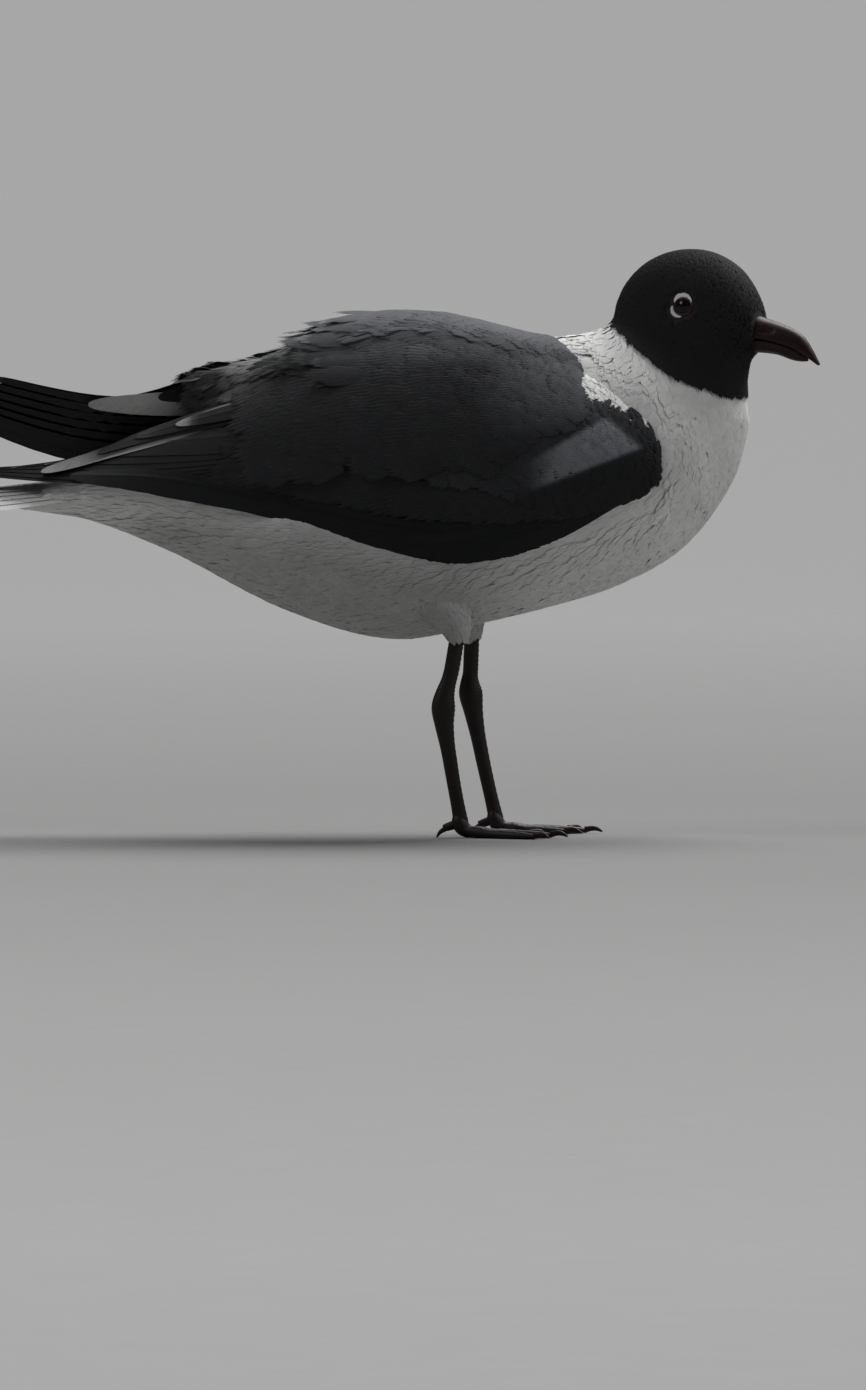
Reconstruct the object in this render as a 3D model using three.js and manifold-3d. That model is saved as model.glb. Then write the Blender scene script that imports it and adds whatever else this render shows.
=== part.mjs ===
// Laughing gull, adult in summer dress, standing with folded wings: a still, life-size model.
// Millimetres. +X points the way the body faces, +Y to the bird's left, +Z up, and the feet
// stand on z = 0. The body is one loft through named stations, parted into head, neck, breast,
// belly, rump and mantle. The folded wings, tail, legs, webbed feet, bill and eyes are solids
// of their own, each a fit gap clear of its neighbours.
import * as THREE from "three";
import { mergeVertices } from "three/addons/utils/BufferGeometryUtils.js";
import Module from "manifold-3d";

const wasm = await Module();
wasm.setup();

// ---- driving dimensions, in mm -------------------------------------------------------------
const FIT_GAP = 0.3; // clear space between neighbouring solids
const HEAD_PIVOT_X = 128; // the head turns about an upright line through the neck
const HEAD_TURN = 27; // degrees that the head turns to the bird's right
const EYE_RADIUS = 5.0;
const EYE_OPENING = 3.7; // radius of the part of the eyeball that shows
const EYE_AT = { forward: 11.2, side: 15.9, up: 206.8 }; // from the head's pivot
const WEB_THICKNESS = 0.9;
const TOE_RADIUS = 1.9;
const MESH_TOLERANCE = 0.14; // how far a joined surface may move to be told in fewer faces
const BODY_SIDES = 24;
const WING_STEPS = 8; // steps from a wing's lower edge to its upper edge

// The body's stations from the vent to the forehead. Each is a slice of the body: top and bottom
// are its ends in the middle plane [x, z], half its greatest half width, wide the height of the
// widest place as a share of the slice, and turn how far it has turned with the head, in degrees.
const BODY = [
  { top: [-138, 131.4], bottom: [-138.5, 129], half: 5, wide: 0.5, turn: 0 },
  { top: [-121, 135.6], bottom: [-119.5, 126.7], half: 12, wide: 0.5, turn: 0 },
  { top: [-99, 147], bottom: [-98, 122.8], half: 18.5, wide: 0.5, turn: 0 },
  { top: [-69, 160], bottom: [-67, 110.6], half: 27, wide: 0.5, turn: 0 },
  { top: [-39, 175], bottom: [-36, 94.2], half: 32.5, wide: 0.46, turn: 0 },
  { top: [-23, 193], bottom: [-20, 87], half: 37, wide: 0.44, turn: 0 },
  { top: [2, 203.6], bottom: [4, 79], half: 40.5, wide: 0.45, turn: 0 },
  { top: [24, 204.8], bottom: [26, 77], half: 41.8, wide: 0.46, turn: 0 },
  { top: [44, 203], bottom: [50, 82.5], half: 41.8, wide: 0.46, turn: 0 },
  { top: [62, 198], bottom: [78, 89.2], half: 41.3, wide: 0.46, turn: 0 },
  { top: [77, 194.3], bottom: [106, 98], half: 40, wide: 0.45, turn: 0 },
  { top: [88, 195], bottom: [131, 112.5], half: 37, wide: 0.45, turn: 0 },
  { top: [97, 197.3], bottom: [149, 136], half: 32, wide: 0.46, turn: 2 },
  { top: [102, 200], bottom: [156, 157], half: 26.5, wide: 0.48, turn: 9 },
  { top: [104, 203.5], bottom: [156.5, 170], half: 22.5, wide: 0.5, turn: 18 },
  { top: [105, 209.5], bottom: [157, 175.5], half: 20.2, wide: 0.52, turn: 24 },
  { top: [109.2, 217.3], bottom: [158, 179.6], half: 18.8, wide: 0.54, turn: 27 },
  { top: [117.5, 224.3], bottom: [158.6, 182.6], half: 17.8, wide: 0.55, turn: 27 },
  { top: [129, 228.3], bottom: [159.4, 184.9], half: 16.6, wide: 0.55, turn: 27 },
  { top: [142, 228], bottom: [160.6, 186.6], half: 15, wide: 0.53, turn: 27 },
  { top: [153.5, 222.6], bottom: [162, 188], half: 12.6, wide: 0.5, turn: 27 },
  { top: [161, 213.5], bottom: [163.4, 188.9], half: 9.6, wide: 0.48, turn: 27 },
  { top: [164.4, 205.6], bottom: [164.9, 189.6], half: 6.8, wide: 0.48, turn: 27 },
];
const PARTINGS = { rump: 5, belly: 8.6, breast: 12.6, neck: 14.7 }; // stations where nodes end

// The mantle is the dark saddle of the back: what lies above this line, [x, z], rear to front.
const MANTLE_EDGE = [
  [-34, 172],
  [-18, 184],
  [9, 191.5],
  [36, 193.5],
  [58, 191],
  [73, 187.5],
  [82, 190],
  [74, 200],
];

// Each wing's stations from the wrist to the tip. low and high are its lower and upper edges
// [out, up], out being the distance from the middle, bulge how far it swells outwards between
// them, and thick its thickness.
const SHOULDER = [
  { x: 124.2, low: [35, 143.5], high: [34, 151], bulge: 1.2, thick: 3 },
  { x: 120.5, low: [37.5, 134.5], high: [31, 160.5], bulge: 5, thick: 8 },
  { x: 112, low: [38.5, 128.3], high: [29, 169.5], bulge: 9.5, thick: 12 },
  { x: 98, low: [39.5, 122.6], high: [28, 178], bulge: 12.5, thick: 13 },
  { x: 80, low: [40.2, 116.3], high: [27.5, 185], bulge: 14.5, thick: 13 },
  { x: 60, low: [40.6, 110.9], high: [27, 190], bulge: 15.5, thick: 13 },
  { x: 36, low: [40.6, 108.4], high: [26.5, 192.5], bulge: 15.8, thick: 13 },
  { x: 9, low: [40, 113], high: [25.5, 190.5], bulge: 15, thick: 12 },
];
const REAR_OF_RIGHT_WING = [
  { x: -18, low: [37.5, 121.5], high: [23, 182], bulge: 12.5, thick: 10.5 },
  { x: -38, low: [34, 126], high: [15.5, 174], bulge: 10, thick: 9 },
  { x: -57, low: [30.5, 129.9], high: [8, 167.5], bulge: 7.8, thick: 6.5 },
  { x: -77, low: [27, 133.3], high: [3.5, 160], bulge: 5.5, thick: 5 },
  { x: -98, low: [23.5, 136], high: [2.5, 150.6], bulge: 3.6, thick: 4 },
  { x: -118, low: [20, 137.8], high: [2, 146], bulge: 2.4, thick: 3.2 },
  { x: -137, low: [16, 138.6], high: [1, 145.3], bulge: 1.6, thick: 2.6 },
  { x: -157, low: [11, 140.6], high: [0, 145.8], bulge: 1, thick: 2 },
  { x: -175, low: [5.4, 144.6], high: [3.6, 146], bulge: 0.3, thick: 1.2 },
];
const REAR_OF_LEFT_WING = [
  { x: -18, low: [37.5, 122], high: [23, 186], bulge: 12.5, thick: 10.5 },
  { x: -38, low: [33.5, 128], high: [14, 184], bulge: 10, thick: 9 },
  { x: -57, low: [29, 133], high: [7, 181.2], bulge: 7.8, thick: 6.5 },
  { x: -77, low: [24, 138], high: [2, 174.4], bulge: 5.5, thick: 5 },
  { x: -98, low: [18, 143.6], high: [0, 171.6], bulge: 3.6, thick: 4 },
  { x: -118, low: [12, 149], high: [0, 176], bulge: 2.4, thick: 3.2 },
  { x: -137, low: [7, 156.4], high: [-2, 179.8], bulge: 1.6, thick: 2.6 },
  { x: -160, low: [2, 167.4], high: [-4, 182.4], bulge: 1, thick: 2 },
  { x: -184, low: [-3.2, 180.2], high: [-3.8, 182], bulge: 0.3, thick: 1.2 },
];
const WINGTIP_FROM_X = { right: -112, left: -98 }; // where the folded primaries take over

// The tail's stations from its root to its tip: a low arch, half wide to each side.
const TAIL = [
  { x: -92, top: 139.5, half: 15, arch: 8, thick: 7 },
  { x: -112, top: 138.4, half: 20, arch: 8.5, thick: 4.4 },
  { x: -132, top: 136.8, half: 23, arch: 8.2, thick: 2.6 },
  { x: -147, top: 135.6, half: 24, arch: 7.6, thick: 1.6 },
  { x: -151.5, top: 134.9, half: 21, arch: 6.6, thick: 1.1 },
];

// The bill, in the head's own middle plane before the head turns.
const UPPER_BILL = [
  { top: [159, 205.2], bottom: [159, 193.6], half: 6.4, wide: 0.2 },
  { top: [166.5, 202.5], bottom: [166, 193.2], half: 5.7, wide: 0.2 },
  { top: [173, 200.5], bottom: [172.2, 192.2], half: 4.9, wide: 0.2 },
  { top: [179, 198.2], bottom: [177.6, 190.7], half: 4.1, wide: 0.2 },
  { top: [183.6, 195.2], bottom: [181.6, 188.9], half: 3.3, wide: 0.25 },
  { top: [187.2, 190.4], bottom: [185.2, 187], half: 2.2, wide: 0.35 },
  { top: [190.6, 184.6], bottom: [189.8, 184], half: 0.8, wide: 0.5 },
];
const LOWER_BILL = [
  { top: [160, 193.2], bottom: [161.5, 188.9], half: 6, wide: 0.85 },
  { top: [166, 192.8], bottom: [166.6, 188.7], half: 5.4, wide: 0.85 },
  { top: [172, 191.9], bottom: [172.6, 188], half: 4.6, wide: 0.85 },
  { top: [177.4, 190.4], bottom: [178.6, 186.1], half: 3.8, wide: 0.85 },
  { top: [181.4, 188.6], bottom: [182.4, 185.5], half: 2.9, wide: 0.8 },
  { top: [184.8, 186.8], bottom: [185.4, 185.6], half: 1.4, wide: 0.5 },
];

// Each leg's middle line from inside the belly down to the foot, [x, out, z].
const LEGS = {
  right: {
    knee: [32, 20, 100],
    cuff: [43.6, 19.5, 78],
    shin: [40.8, 19.5, 66],
    ankle: [37.4, 19.5, 50.5],
    foot: [44.4, 17.5, 5.4],
  },
  left: {
    knee: [38, 20, 100],
    cuff: [48.6, 19.5, 78],
    shin: [48.2, 19.5, 66],
    ankle: [48.2, 19.5, 54.5],
    foot: [58.2, 18.5, 5.4],
  },
};
const LEG_RADII = [2.7, 2.8, 2.9, 2.9, 3, 3.7, 4.5, 3.6, 2.9, 2.7, 2.6, 2.6, 2.9]; // cuff to foot
const LEG_FLATNESS = 0.7; // a leg's thickness across as a share of its thickness fore and aft
const FOOT_TOP = 6.2; // height at which the leg ends and the foot begins
const TOE_OUT = 10; // degrees that each foot points away from the middle
const TOES = [
  { name: "inner", length: 30, spread: 27 },
  { name: "middle", length: 37, spread: 2 },
  { name: "outer", length: 35, spread: -21 },
];
const CLAW_LENGTH = 5;
const HALLUX_LENGTH = 6.5;

// ---- materials -----------------------------------------------------------------------------
function finish(color, roughness) {
  return new THREE.MeshStandardMaterial({ color, roughness, metalness: 0 });
}
const HOOD_BLACK = finish(0x18181a, 0.85);
const WHITE_PLUMAGE = finish(0xd9d9d6, 0.9);
const SLATE_PLUMAGE = finish(0x4c4e52, 0.85);
const WINGTIP_BLACK = finish(0x131315, 0.7);
const BILL_HORN = finish(0x1d0e0e, 0.35);
const LEG_SKIN = finish(0x1a1111, 0.5);
const EYE_GLOSS = finish(0x0a0807, 0.05);

// ---- shapes shared by several parts --------------------------------------------------------
const radians = THREE.MathUtils.degToRad;

// A smooth value at position u along a row of keys: a Catmull-Rom spline through the numbers.
function along(keys, u, read) {
  const i = Math.min(Math.max(Math.floor(u), 0), keys.length - 2);
  const t = u - i;
  const value = (k) => read(keys[Math.min(Math.max(k, 0), keys.length - 1)]);
  const [a, b, c, d] = [value(i - 1), value(i), value(i + 1), value(i + 2)];
  const slopeIn = i > 0 ? (c - a) / 2 : c - b;
  const slopeOut = i < keys.length - 2 ? (d - b) / 2 : c - b;
  const t2 = t * t;
  const t3 = t2 * t;
  return (
    (2 * t3 - 3 * t2 + 1) * b + (t3 - 2 * t2 + t) * slopeIn + (3 * t2 - 2 * t3) * c + (t3 - t2) * slopeOut
  );
}

// A closed geometry from rings of points, with a fan to the middle of each end ring.
function skinOver(rings) {
  const sides = rings[0].length;
  const points = rings.flat();
  const faces = [];
  for (let r = 0; r + 1 < rings.length; r++)
    for (let s = 0; s < sides; s++) {
      const [a, b] = [r * sides + s, r * sides + ((s + 1) % sides)];
      faces.push(a, b, b + sides, a, b + sides, a + sides);
    }
  for (const [ring, turnedBack] of [
    [0, true],
    [rings.length - 1, false],
  ]) {
    const middle = rings[ring].reduce((sum, p) => sum.add(p), new THREE.Vector3()).divideScalar(sides);
    points.push(middle);
    for (let s = 0; s < sides; s++) {
      const [a, b] = [ring * sides + s, ring * sides + ((s + 1) % sides)];
      faces.push(...(turnedBack ? [b, a, points.length - 1] : [a, b, points.length - 1]));
    }
  }
  return new THREE.BufferGeometry()
    .setAttribute("position", new THREE.Float32BufferAttribute(points.flatMap((p) => p.toArray()), 3))
    .setIndex(faces);
}

// The manifold solid of a closed geometry, turned the right way out.
function solid(geometry) {
  const bare = geometry.clone();
  bare.deleteAttribute("normal");
  bare.deleteAttribute("uv");
  const merged = mergeVertices(bare, 1e-3);
  const triVerts = new Uint32Array(merged.index.array);
  const build = () =>
    new wasm.Manifold(
      new wasm.Mesh({ numProp: 3, vertProperties: merged.attributes.position.array, triVerts }),
    );
  const made = build();
  if (made.volume() > 0) return made;
  triVerts.reverse();
  return build();
}

// The biggest piece of a solid, so that a boolean's crumbs are dropped.
function mainPiece(whole) {
  return whole.decompose().sort((a, b) => b.volume() - a.volume())[0];
}

function node(name, shape, material) {
  const mesh = mainPiece(shape.simplify(MESH_TOLERANCE)).getMesh();
  const geometry = new THREE.BufferGeometry()
    .setAttribute("position", new THREE.BufferAttribute(mesh.vertProperties, 3))
    .setIndex(new THREE.BufferAttribute(mesh.triVerts, 1));
  geometry.computeVertexNormals();
  const made = new THREE.Mesh(geometry, material);
  made.name = name;
  return made;
}

// Turns a point of the middle plane, sideways places included, with the head.
function turnWithHead(forward, side, up, degrees) {
  const turn = radians(-degrees);
  const reach = forward - HEAD_PIVOT_X;
  return new THREE.Vector3(
    HEAD_PIVOT_X + reach * Math.cos(turn) - side * Math.sin(turn),
    reach * Math.sin(turn) + side * Math.cos(turn),
    up,
  );
}

// One slice of a body: an egg-shaped ring between its top and bottom points.
function slice(keys, u, sides, grow) {
  const get = (read) => along(keys, u, read);
  const top = new THREE.Vector2(get((k) => k.top[0]), get((k) => k.top[1]));
  const bottom = new THREE.Vector2(get((k) => k.bottom[0]), get((k) => k.bottom[1]));
  const upwards = top.clone().sub(bottom).normalize();
  top.addScaledVector(upwards, grow);
  bottom.addScaledVector(upwards, -grow);
  const half = get((k) => k.half) + grow;
  const wide = get((k) => k.wide ?? 0.5);
  const turn = get((k) => k.turn ?? HEAD_TURN);
  return Array.from({ length: sides }, (_, s) => {
    const angle = (2 * Math.PI * s) / sides;
    const height = Math.cos(angle);
    const share = wide + height * (height > 0 ? 1 - wide : wide);
    const place = bottom.clone().lerp(top, share);
    return turnWithHead(place.x, half * Math.sin(angle), place.y, turn);
  });
}

function bodyBetween(from, to, stepsEach, grow = 0) {
  const steps = Math.max(2, Math.round((to - from) * stepsEach));
  const rings = Array.from({ length: steps + 1 }, (_, i) =>
    slice(BODY, from + ((to - from) * i) / steps, BODY_SIDES, grow),
  );
  return solid(skinOver(rings));
}

// One upright slice of a folded wing, a thin crescent from its lower edge to its upper edge.
function wingSlice(keys, u, hand, grow) {
  const get = (read) => along(keys, u, read);
  const x = get((k) => k.x);
  const low = new THREE.Vector2(get((k) => k.low[0]), get((k) => k.low[1]));
  const high = new THREE.Vector2(get((k) => k.high[0]), get((k) => k.high[1]));
  const bulge = get((k) => k.bulge);
  const thick = get((k) => k.thick);
  const chord = high.clone().sub(low).normalize();
  const outwards = new THREE.Vector2(chord.y, -chord.x);
  const place = (t, inwards) => {
    const swell = Math.pow(Math.sin(Math.PI * t), 0.75) * bulge;
    const wall = thick * (0.22 + 0.78 * Math.sin(Math.PI * t));
    const p = low.clone().lerp(high, t).addScaledVector(chord, (2 * t - 1) * grow);
    p.addScaledVector(outwards, inwards ? swell - wall - grow : swell + grow);
    return new THREE.Vector3(x, hand * p.x, p.y);
  };
  const steps = Array.from({ length: WING_STEPS + 1 }, (_, i) => i / WING_STEPS);
  return [...steps.map((t) => place(t, false)), ...steps.reverse().map((t) => place(t, true))];
}

function foldedWing(keys, hand, grow = 0) {
  const steps = (keys.length - 1) * 2;
  const rings = Array.from({ length: steps + 1 }, (_, i) => wingSlice(keys, i / 2, hand, grow));
  return solid(skinOver(rings));
}

// A round bar along a smooth path, radii given at evenly spread places.
function bar(points, radii, sides, flatten = 1, steps = 14) {
  const path = new THREE.CatmullRomCurve3(points.map((p) => new THREE.Vector3(...p)));
  const across = new THREE.Vector3(0, 1, 0);
  const rings = Array.from({ length: steps + 1 }, (_, i) => {
    const u = i / steps;
    const centre = path.getPoint(u);
    const ahead = path.getTangent(u);
    const side = across.clone().addScaledVector(ahead, -across.dot(ahead)).normalize();
    const other = ahead.clone().cross(side);
    const radius = along(radii, u * (radii.length - 1), (r) => r);
    return Array.from({ length: sides }, (_, s) => {
      const angle = (2 * Math.PI * s) / sides;
      return centre
        .clone()
        .addScaledVector(side, radius * flatten * Math.cos(angle))
        .addScaledVector(other, radius * Math.sin(angle));
    });
  });
  return solid(skinOver(rings));
}

// ---- head: bill and eyes -------------------------------------------------------------------
function billHalf(keys, grow = 0) {
  const steps = (keys.length - 1) * 2;
  const rings = Array.from({ length: steps + 1 }, (_, i) =>
    slice(keys, (i * (keys.length - 1)) / steps, 12, grow),
  );
  return solid(skinOver(rings));
}

function eyeball(hand, grow = 0) {
  const ball = new THREE.SphereGeometry(EYE_RADIUS + grow, 12, 8).toNonIndexed();
  const sunk = EYE_AT.side - Math.sqrt(EYE_RADIUS ** 2 - EYE_OPENING ** 2);
  const centre = turnWithHead(HEAD_PIVOT_X + EYE_AT.forward, hand * sunk, EYE_AT.up, HEAD_TURN);
  return solid(ball.translate(centre.x, centre.y, centre.z));
}

// ---- legs and feet -------------------------------------------------------------------------
function mirrored(point, hand) {
  return [point[0], hand * point[1], point[2]];
}

// The feathered thigh, from the belly to the cuff where the bare leg comes out.
function thigh(leg, hand, grow = 0) {
  const above = [leg.cuff[0] - 2.5, leg.cuff[1], leg.cuff[2] + 8];
  const points = [leg.knee, above, leg.cuff].map((p) => mirrored(p, hand));
  return bar(points, [13 + grow, 8 + grow, 4.6 + grow], 12, 0.9, 6);
}

// The bare leg: the end of the shin, the ankle and the long foot bone down to the toes.
function bareLeg(leg, hand, grow = 0) {
  const above = [leg.cuff[0] + 0.4, leg.cuff[1], leg.cuff[2] + 8];
  const middle = leg.ankle.map((v, i) => (v + leg.foot[i]) / 2);
  const bowed = [middle[0] - 0.5, middle[1], middle[2]];
  const points = [above, leg.shin, leg.ankle, bowed, leg.foot].map((p) => mirrored(p, hand));
  return bar(points, LEG_RADII.map((r) => r + grow), 10, LEG_FLATNESS, 22);
}

// A webbed foot: three front toes with claws, the web between them and the small hind toe.
function foot(leg, hand) {
  const [x, out] = leg.foot;
  const at = (length, degrees, up) => {
    const angle = radians(TOE_OUT - degrees);
    return [x + length * Math.cos(angle), hand * (out + length * Math.sin(angle)), up];
  };
  const pieces = TOES.map((toe) =>
    bar(
      [at(-0.5, toe.spread, 4), at(6, toe.spread, 2.4), at(toe.length * 0.55, toe.spread, 1.5), at(toe.length, toe.spread, 1.2)],
      [2.6, TOE_RADIUS, 2, 1.6, 1.8, 1.2],
      6,
      1,
      8,
    ),
  );
  for (const toe of TOES)
    pieces.push(
      bar(
        [at(toe.length - 2, toe.spread, 1.7), at(toe.length + 2, toe.spread, 2), at(toe.length + CLAW_LENGTH, toe.spread, 0.7)],
        [1.2, 1, 0.35],
        5,
        0.8,
        3,
      ),
    );
  const hindToe = [at(-0.5, 182, 6), at(HALLUX_LENGTH, 190, 3.6), at(HALLUX_LENGTH + 3, 194, 0.2)];
  const heel = [[x - 0.6, hand * out, 7.4], [x, hand * out, 4.4], [x + 1, hand * out, 2]];
  pieces.push(bar(hindToe, [1.9, 1.5, 0.7], 6, 1, 4), bar(heel, [2.6, 3, 3.2], 8, 1, 4));
  const outline = new THREE.Shape();
  const corner = (toe, share) => at(toe.length * share, toe.spread, 0);
  outline.moveTo(x, hand * out);
  for (const [from, to] of [
    [TOES[0], TOES[1]],
    [TOES[1], TOES[2]],
  ]) {
    const [a, b] = [corner(from, 0.97), corner(to, 0.97)];
    const inward = at((from.length + to.length) * 0.4, (from.spread + to.spread) / 2, 0);
    outline.lineTo(a[0], a[1]);
    outline.quadraticCurveTo(inward[0], inward[1], b[0], b[1]);
  }
  outline.closePath();
  const web = new THREE.ExtrudeGeometry(outline, { depth: WEB_THICKNESS, bevelEnabled: false, curveSegments: 5 });
  pieces.push(solid(web));
  const whole = pieces.reduce((joined, piece) => joined.add(piece));
  return whole.trimByPlane([0, 0, 1], 0).trimByPlane([0, 0, -1], FIT_GAP - FOOT_TOP);
}

// ---- tail ----------------------------------------------------------------------------------
function tailSolid() {
  const steps = 10;
  const across = 10;
  const rings = Array.from({ length: steps + 1 }, (_, i) => {
    const get = (read) => along(TAIL, (i * (TAIL.length - 1)) / steps, read);
    const [x, top, half, arch, thick] = ["x", "top", "half", "arch", "thick"].map((f) => get((k) => k[f]));
    const place = (t, drop) => new THREE.Vector3(x, half * t, top - arch * Math.abs(t) ** 1.7 - drop);
    const shares = Array.from({ length: across + 1 }, (_, s) => (2 * s) / across - 1);
    return [
      ...shares.map((t) => place(t, 0)),
      ...shares.reverse().map((t) => place(t, thick * (1 - 0.6 * Math.abs(t)))),
    ];
  });
  return solid(skinOver(rings));
}

// ---- mantle --------------------------------------------------------------------------------
// A block as wide as the bird that holds all of the body above the mantle's edge.
function mantleBlock() {
  const outline = new THREE.Shape();
  outline.moveTo(MANTLE_EDGE[0][0], 230);
  for (const [x, z] of MANTLE_EDGE) outline.lineTo(x, z);
  outline.lineTo(MANTLE_EDGE.at(-1)[0], 230);
  const block = new THREE.ExtrudeGeometry(outline, { depth: 120, bevelEnabled: false });
  return solid(block.translate(0, 0, -60).rotateX(Math.PI / 2));
}

// ---- the whole bird ------------------------------------------------------------------------
const gull = new THREE.Group();
const sides = [
  { side: "right", hand: -1, wing: [...SHOULDER, ...REAR_OF_RIGHT_WING] },
  { side: "left", hand: 1, wing: [...SHOULDER, ...REAR_OF_LEFT_WING] },
];
const last = BODY.length - 1;
const PART_GAP = 0.02; // the fit gap between two parts of the body, in stations

function together(makeOne) {
  return sides.map(makeOne).reduce((a, b) => a.add(b));
}
const eyeRoom = together(({ hand }) => eyeball(hand, FIT_GAP));
const billRoom = billHalf(UPPER_BILL, FIT_GAP).add(billHalf(LOWER_BILL, FIT_GAP));
const wingRoom = together(({ wing, hand }) => foldedWing(wing, hand, FIT_GAP));
const legRoom = together(({ side, hand }) =>
  thigh(LEGS[side], hand, FIT_GAP).add(bareLeg(LEGS[side], hand, FIT_GAP)),
);
const mantleRoom = [FIT_GAP, -FIT_GAP]
  .map((x) => mantleBlock().translate([x, 0, -FIT_GAP]))
  .reduce((a, b) => a.add(b));

function bodyPart(from, to) {
  return bodyBetween(from, to - PART_GAP, 2).subtract(wingRoom).subtract(mantleRoom);
}

const back = bodyBetween(0, PARTINGS.neck, 2);
gull.add(
  node("rump", bodyPart(0, PARTINGS.rump), WHITE_PLUMAGE),
  node("belly", bodyPart(PARTINGS.rump, PARTINGS.belly).subtract(legRoom), WHITE_PLUMAGE),
  node("breast", bodyPart(PARTINGS.belly, PARTINGS.breast).subtract(legRoom), WHITE_PLUMAGE),
  node("neck", bodyPart(PARTINGS.breast, PARTINGS.neck), WHITE_PLUMAGE),
  node("mantle", back.intersect(mantleBlock()).subtract(wingRoom), SLATE_PLUMAGE),
  node("head", bodyPart(PARTINGS.neck, last).subtract(eyeRoom).subtract(billRoom), HOOD_BLACK),
  node("bill_upper", billHalf(UPPER_BILL), BILL_HORN),
  node("bill_lower", billHalf(LOWER_BILL), BILL_HORN),
  node("tail", tailSolid().subtract(bodyBetween(0, PARTINGS.rump, 2, FIT_GAP)), WHITE_PLUMAGE),
);
for (const { side, hand, wing } of sides) {
  const leg = LEGS[side];
  const whole = foldedWing(wing, hand);
  const cut = WINGTIP_FROM_X[side];
  gull.add(
    node(`wing_${side}`, whole.trimByPlane([1, 0, 0], cut + FIT_GAP), SLATE_PLUMAGE),
    node(`wingtip_${side}`, whole.trimByPlane([-1, 0, 0], -cut), WINGTIP_BLACK),
    node(`eye_${side}`, eyeball(hand), EYE_GLOSS),
    node(`thigh_${side}`, thigh(leg, hand).subtract(bareLeg(leg, hand, FIT_GAP)), WHITE_PLUMAGE),
    node(`leg_${side}`, bareLeg(leg, hand).trimByPlane([0, 0, 1], FOOT_TOP), LEG_SKIN),
    node(`foot_${side}`, foot(leg, hand), LEG_SKIN),
  );
}

export default gull;
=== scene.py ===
"""Laughing gull in summer dress, standing with folded wings: the dressed display model.

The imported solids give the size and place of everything. This script lays a skin inside them and
covers it with feathers as solid mesh, and makes the bill, eyes, legs and webbed feet anew in detail.
Lengths are in millimetres in the frame of the solids, +X ahead, +Y to the bird's left and +Z up, and
each mesh is brought to metres when it is made.

Every surface is a Sheet: a grid of points worked out from a few stations. Feathers are small closed
vanes and tufts whose points (s, t, h, lean) mean: share of the length from root to tip, half widths
to the side, thicknesses outwards, and lean of the surface across a barb. They are draped along paths
that walk over a sheet.
"""

import bpy
import numpy as np
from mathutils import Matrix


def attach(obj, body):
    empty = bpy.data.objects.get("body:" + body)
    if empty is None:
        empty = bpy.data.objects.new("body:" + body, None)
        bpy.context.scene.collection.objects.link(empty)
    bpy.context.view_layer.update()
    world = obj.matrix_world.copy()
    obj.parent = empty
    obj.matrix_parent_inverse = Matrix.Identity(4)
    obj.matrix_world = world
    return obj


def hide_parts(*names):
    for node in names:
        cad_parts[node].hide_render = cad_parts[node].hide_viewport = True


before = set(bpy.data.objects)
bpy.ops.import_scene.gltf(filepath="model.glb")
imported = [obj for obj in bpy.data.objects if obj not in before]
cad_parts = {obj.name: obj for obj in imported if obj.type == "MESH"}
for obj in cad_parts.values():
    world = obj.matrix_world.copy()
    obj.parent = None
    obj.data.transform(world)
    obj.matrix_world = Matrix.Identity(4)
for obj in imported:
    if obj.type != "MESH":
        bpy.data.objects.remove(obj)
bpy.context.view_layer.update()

MM = 0.001
chance = np.random.default_rng(20)

# ---- driving dimensions, in mm: the stations of the solids ---------------------------------------
HEAD_PIVOT_X = 128
HEAD_TURN = 27
EYE_RADIUS = 5.0
EYE_OPENING = 3.7
EYE_FORWARD, EYE_SIDE, EYE_UP = 11.2, 15.9, 206.8
EYE_ROOTS, EYE_PATHS = 4.7, 4.6  # how near an eye the roots and the paths of the coat may come
PUPIL_EDGE = (1.9, 2.3)  # from the pupil's black to the iris's brown, in mm from the eye's axis
EYE_MIDDLE = EYE_SIDE - np.sqrt(EYE_RADIUS**2 - EYE_OPENING**2)  # how far out the ball's middle lies

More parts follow.
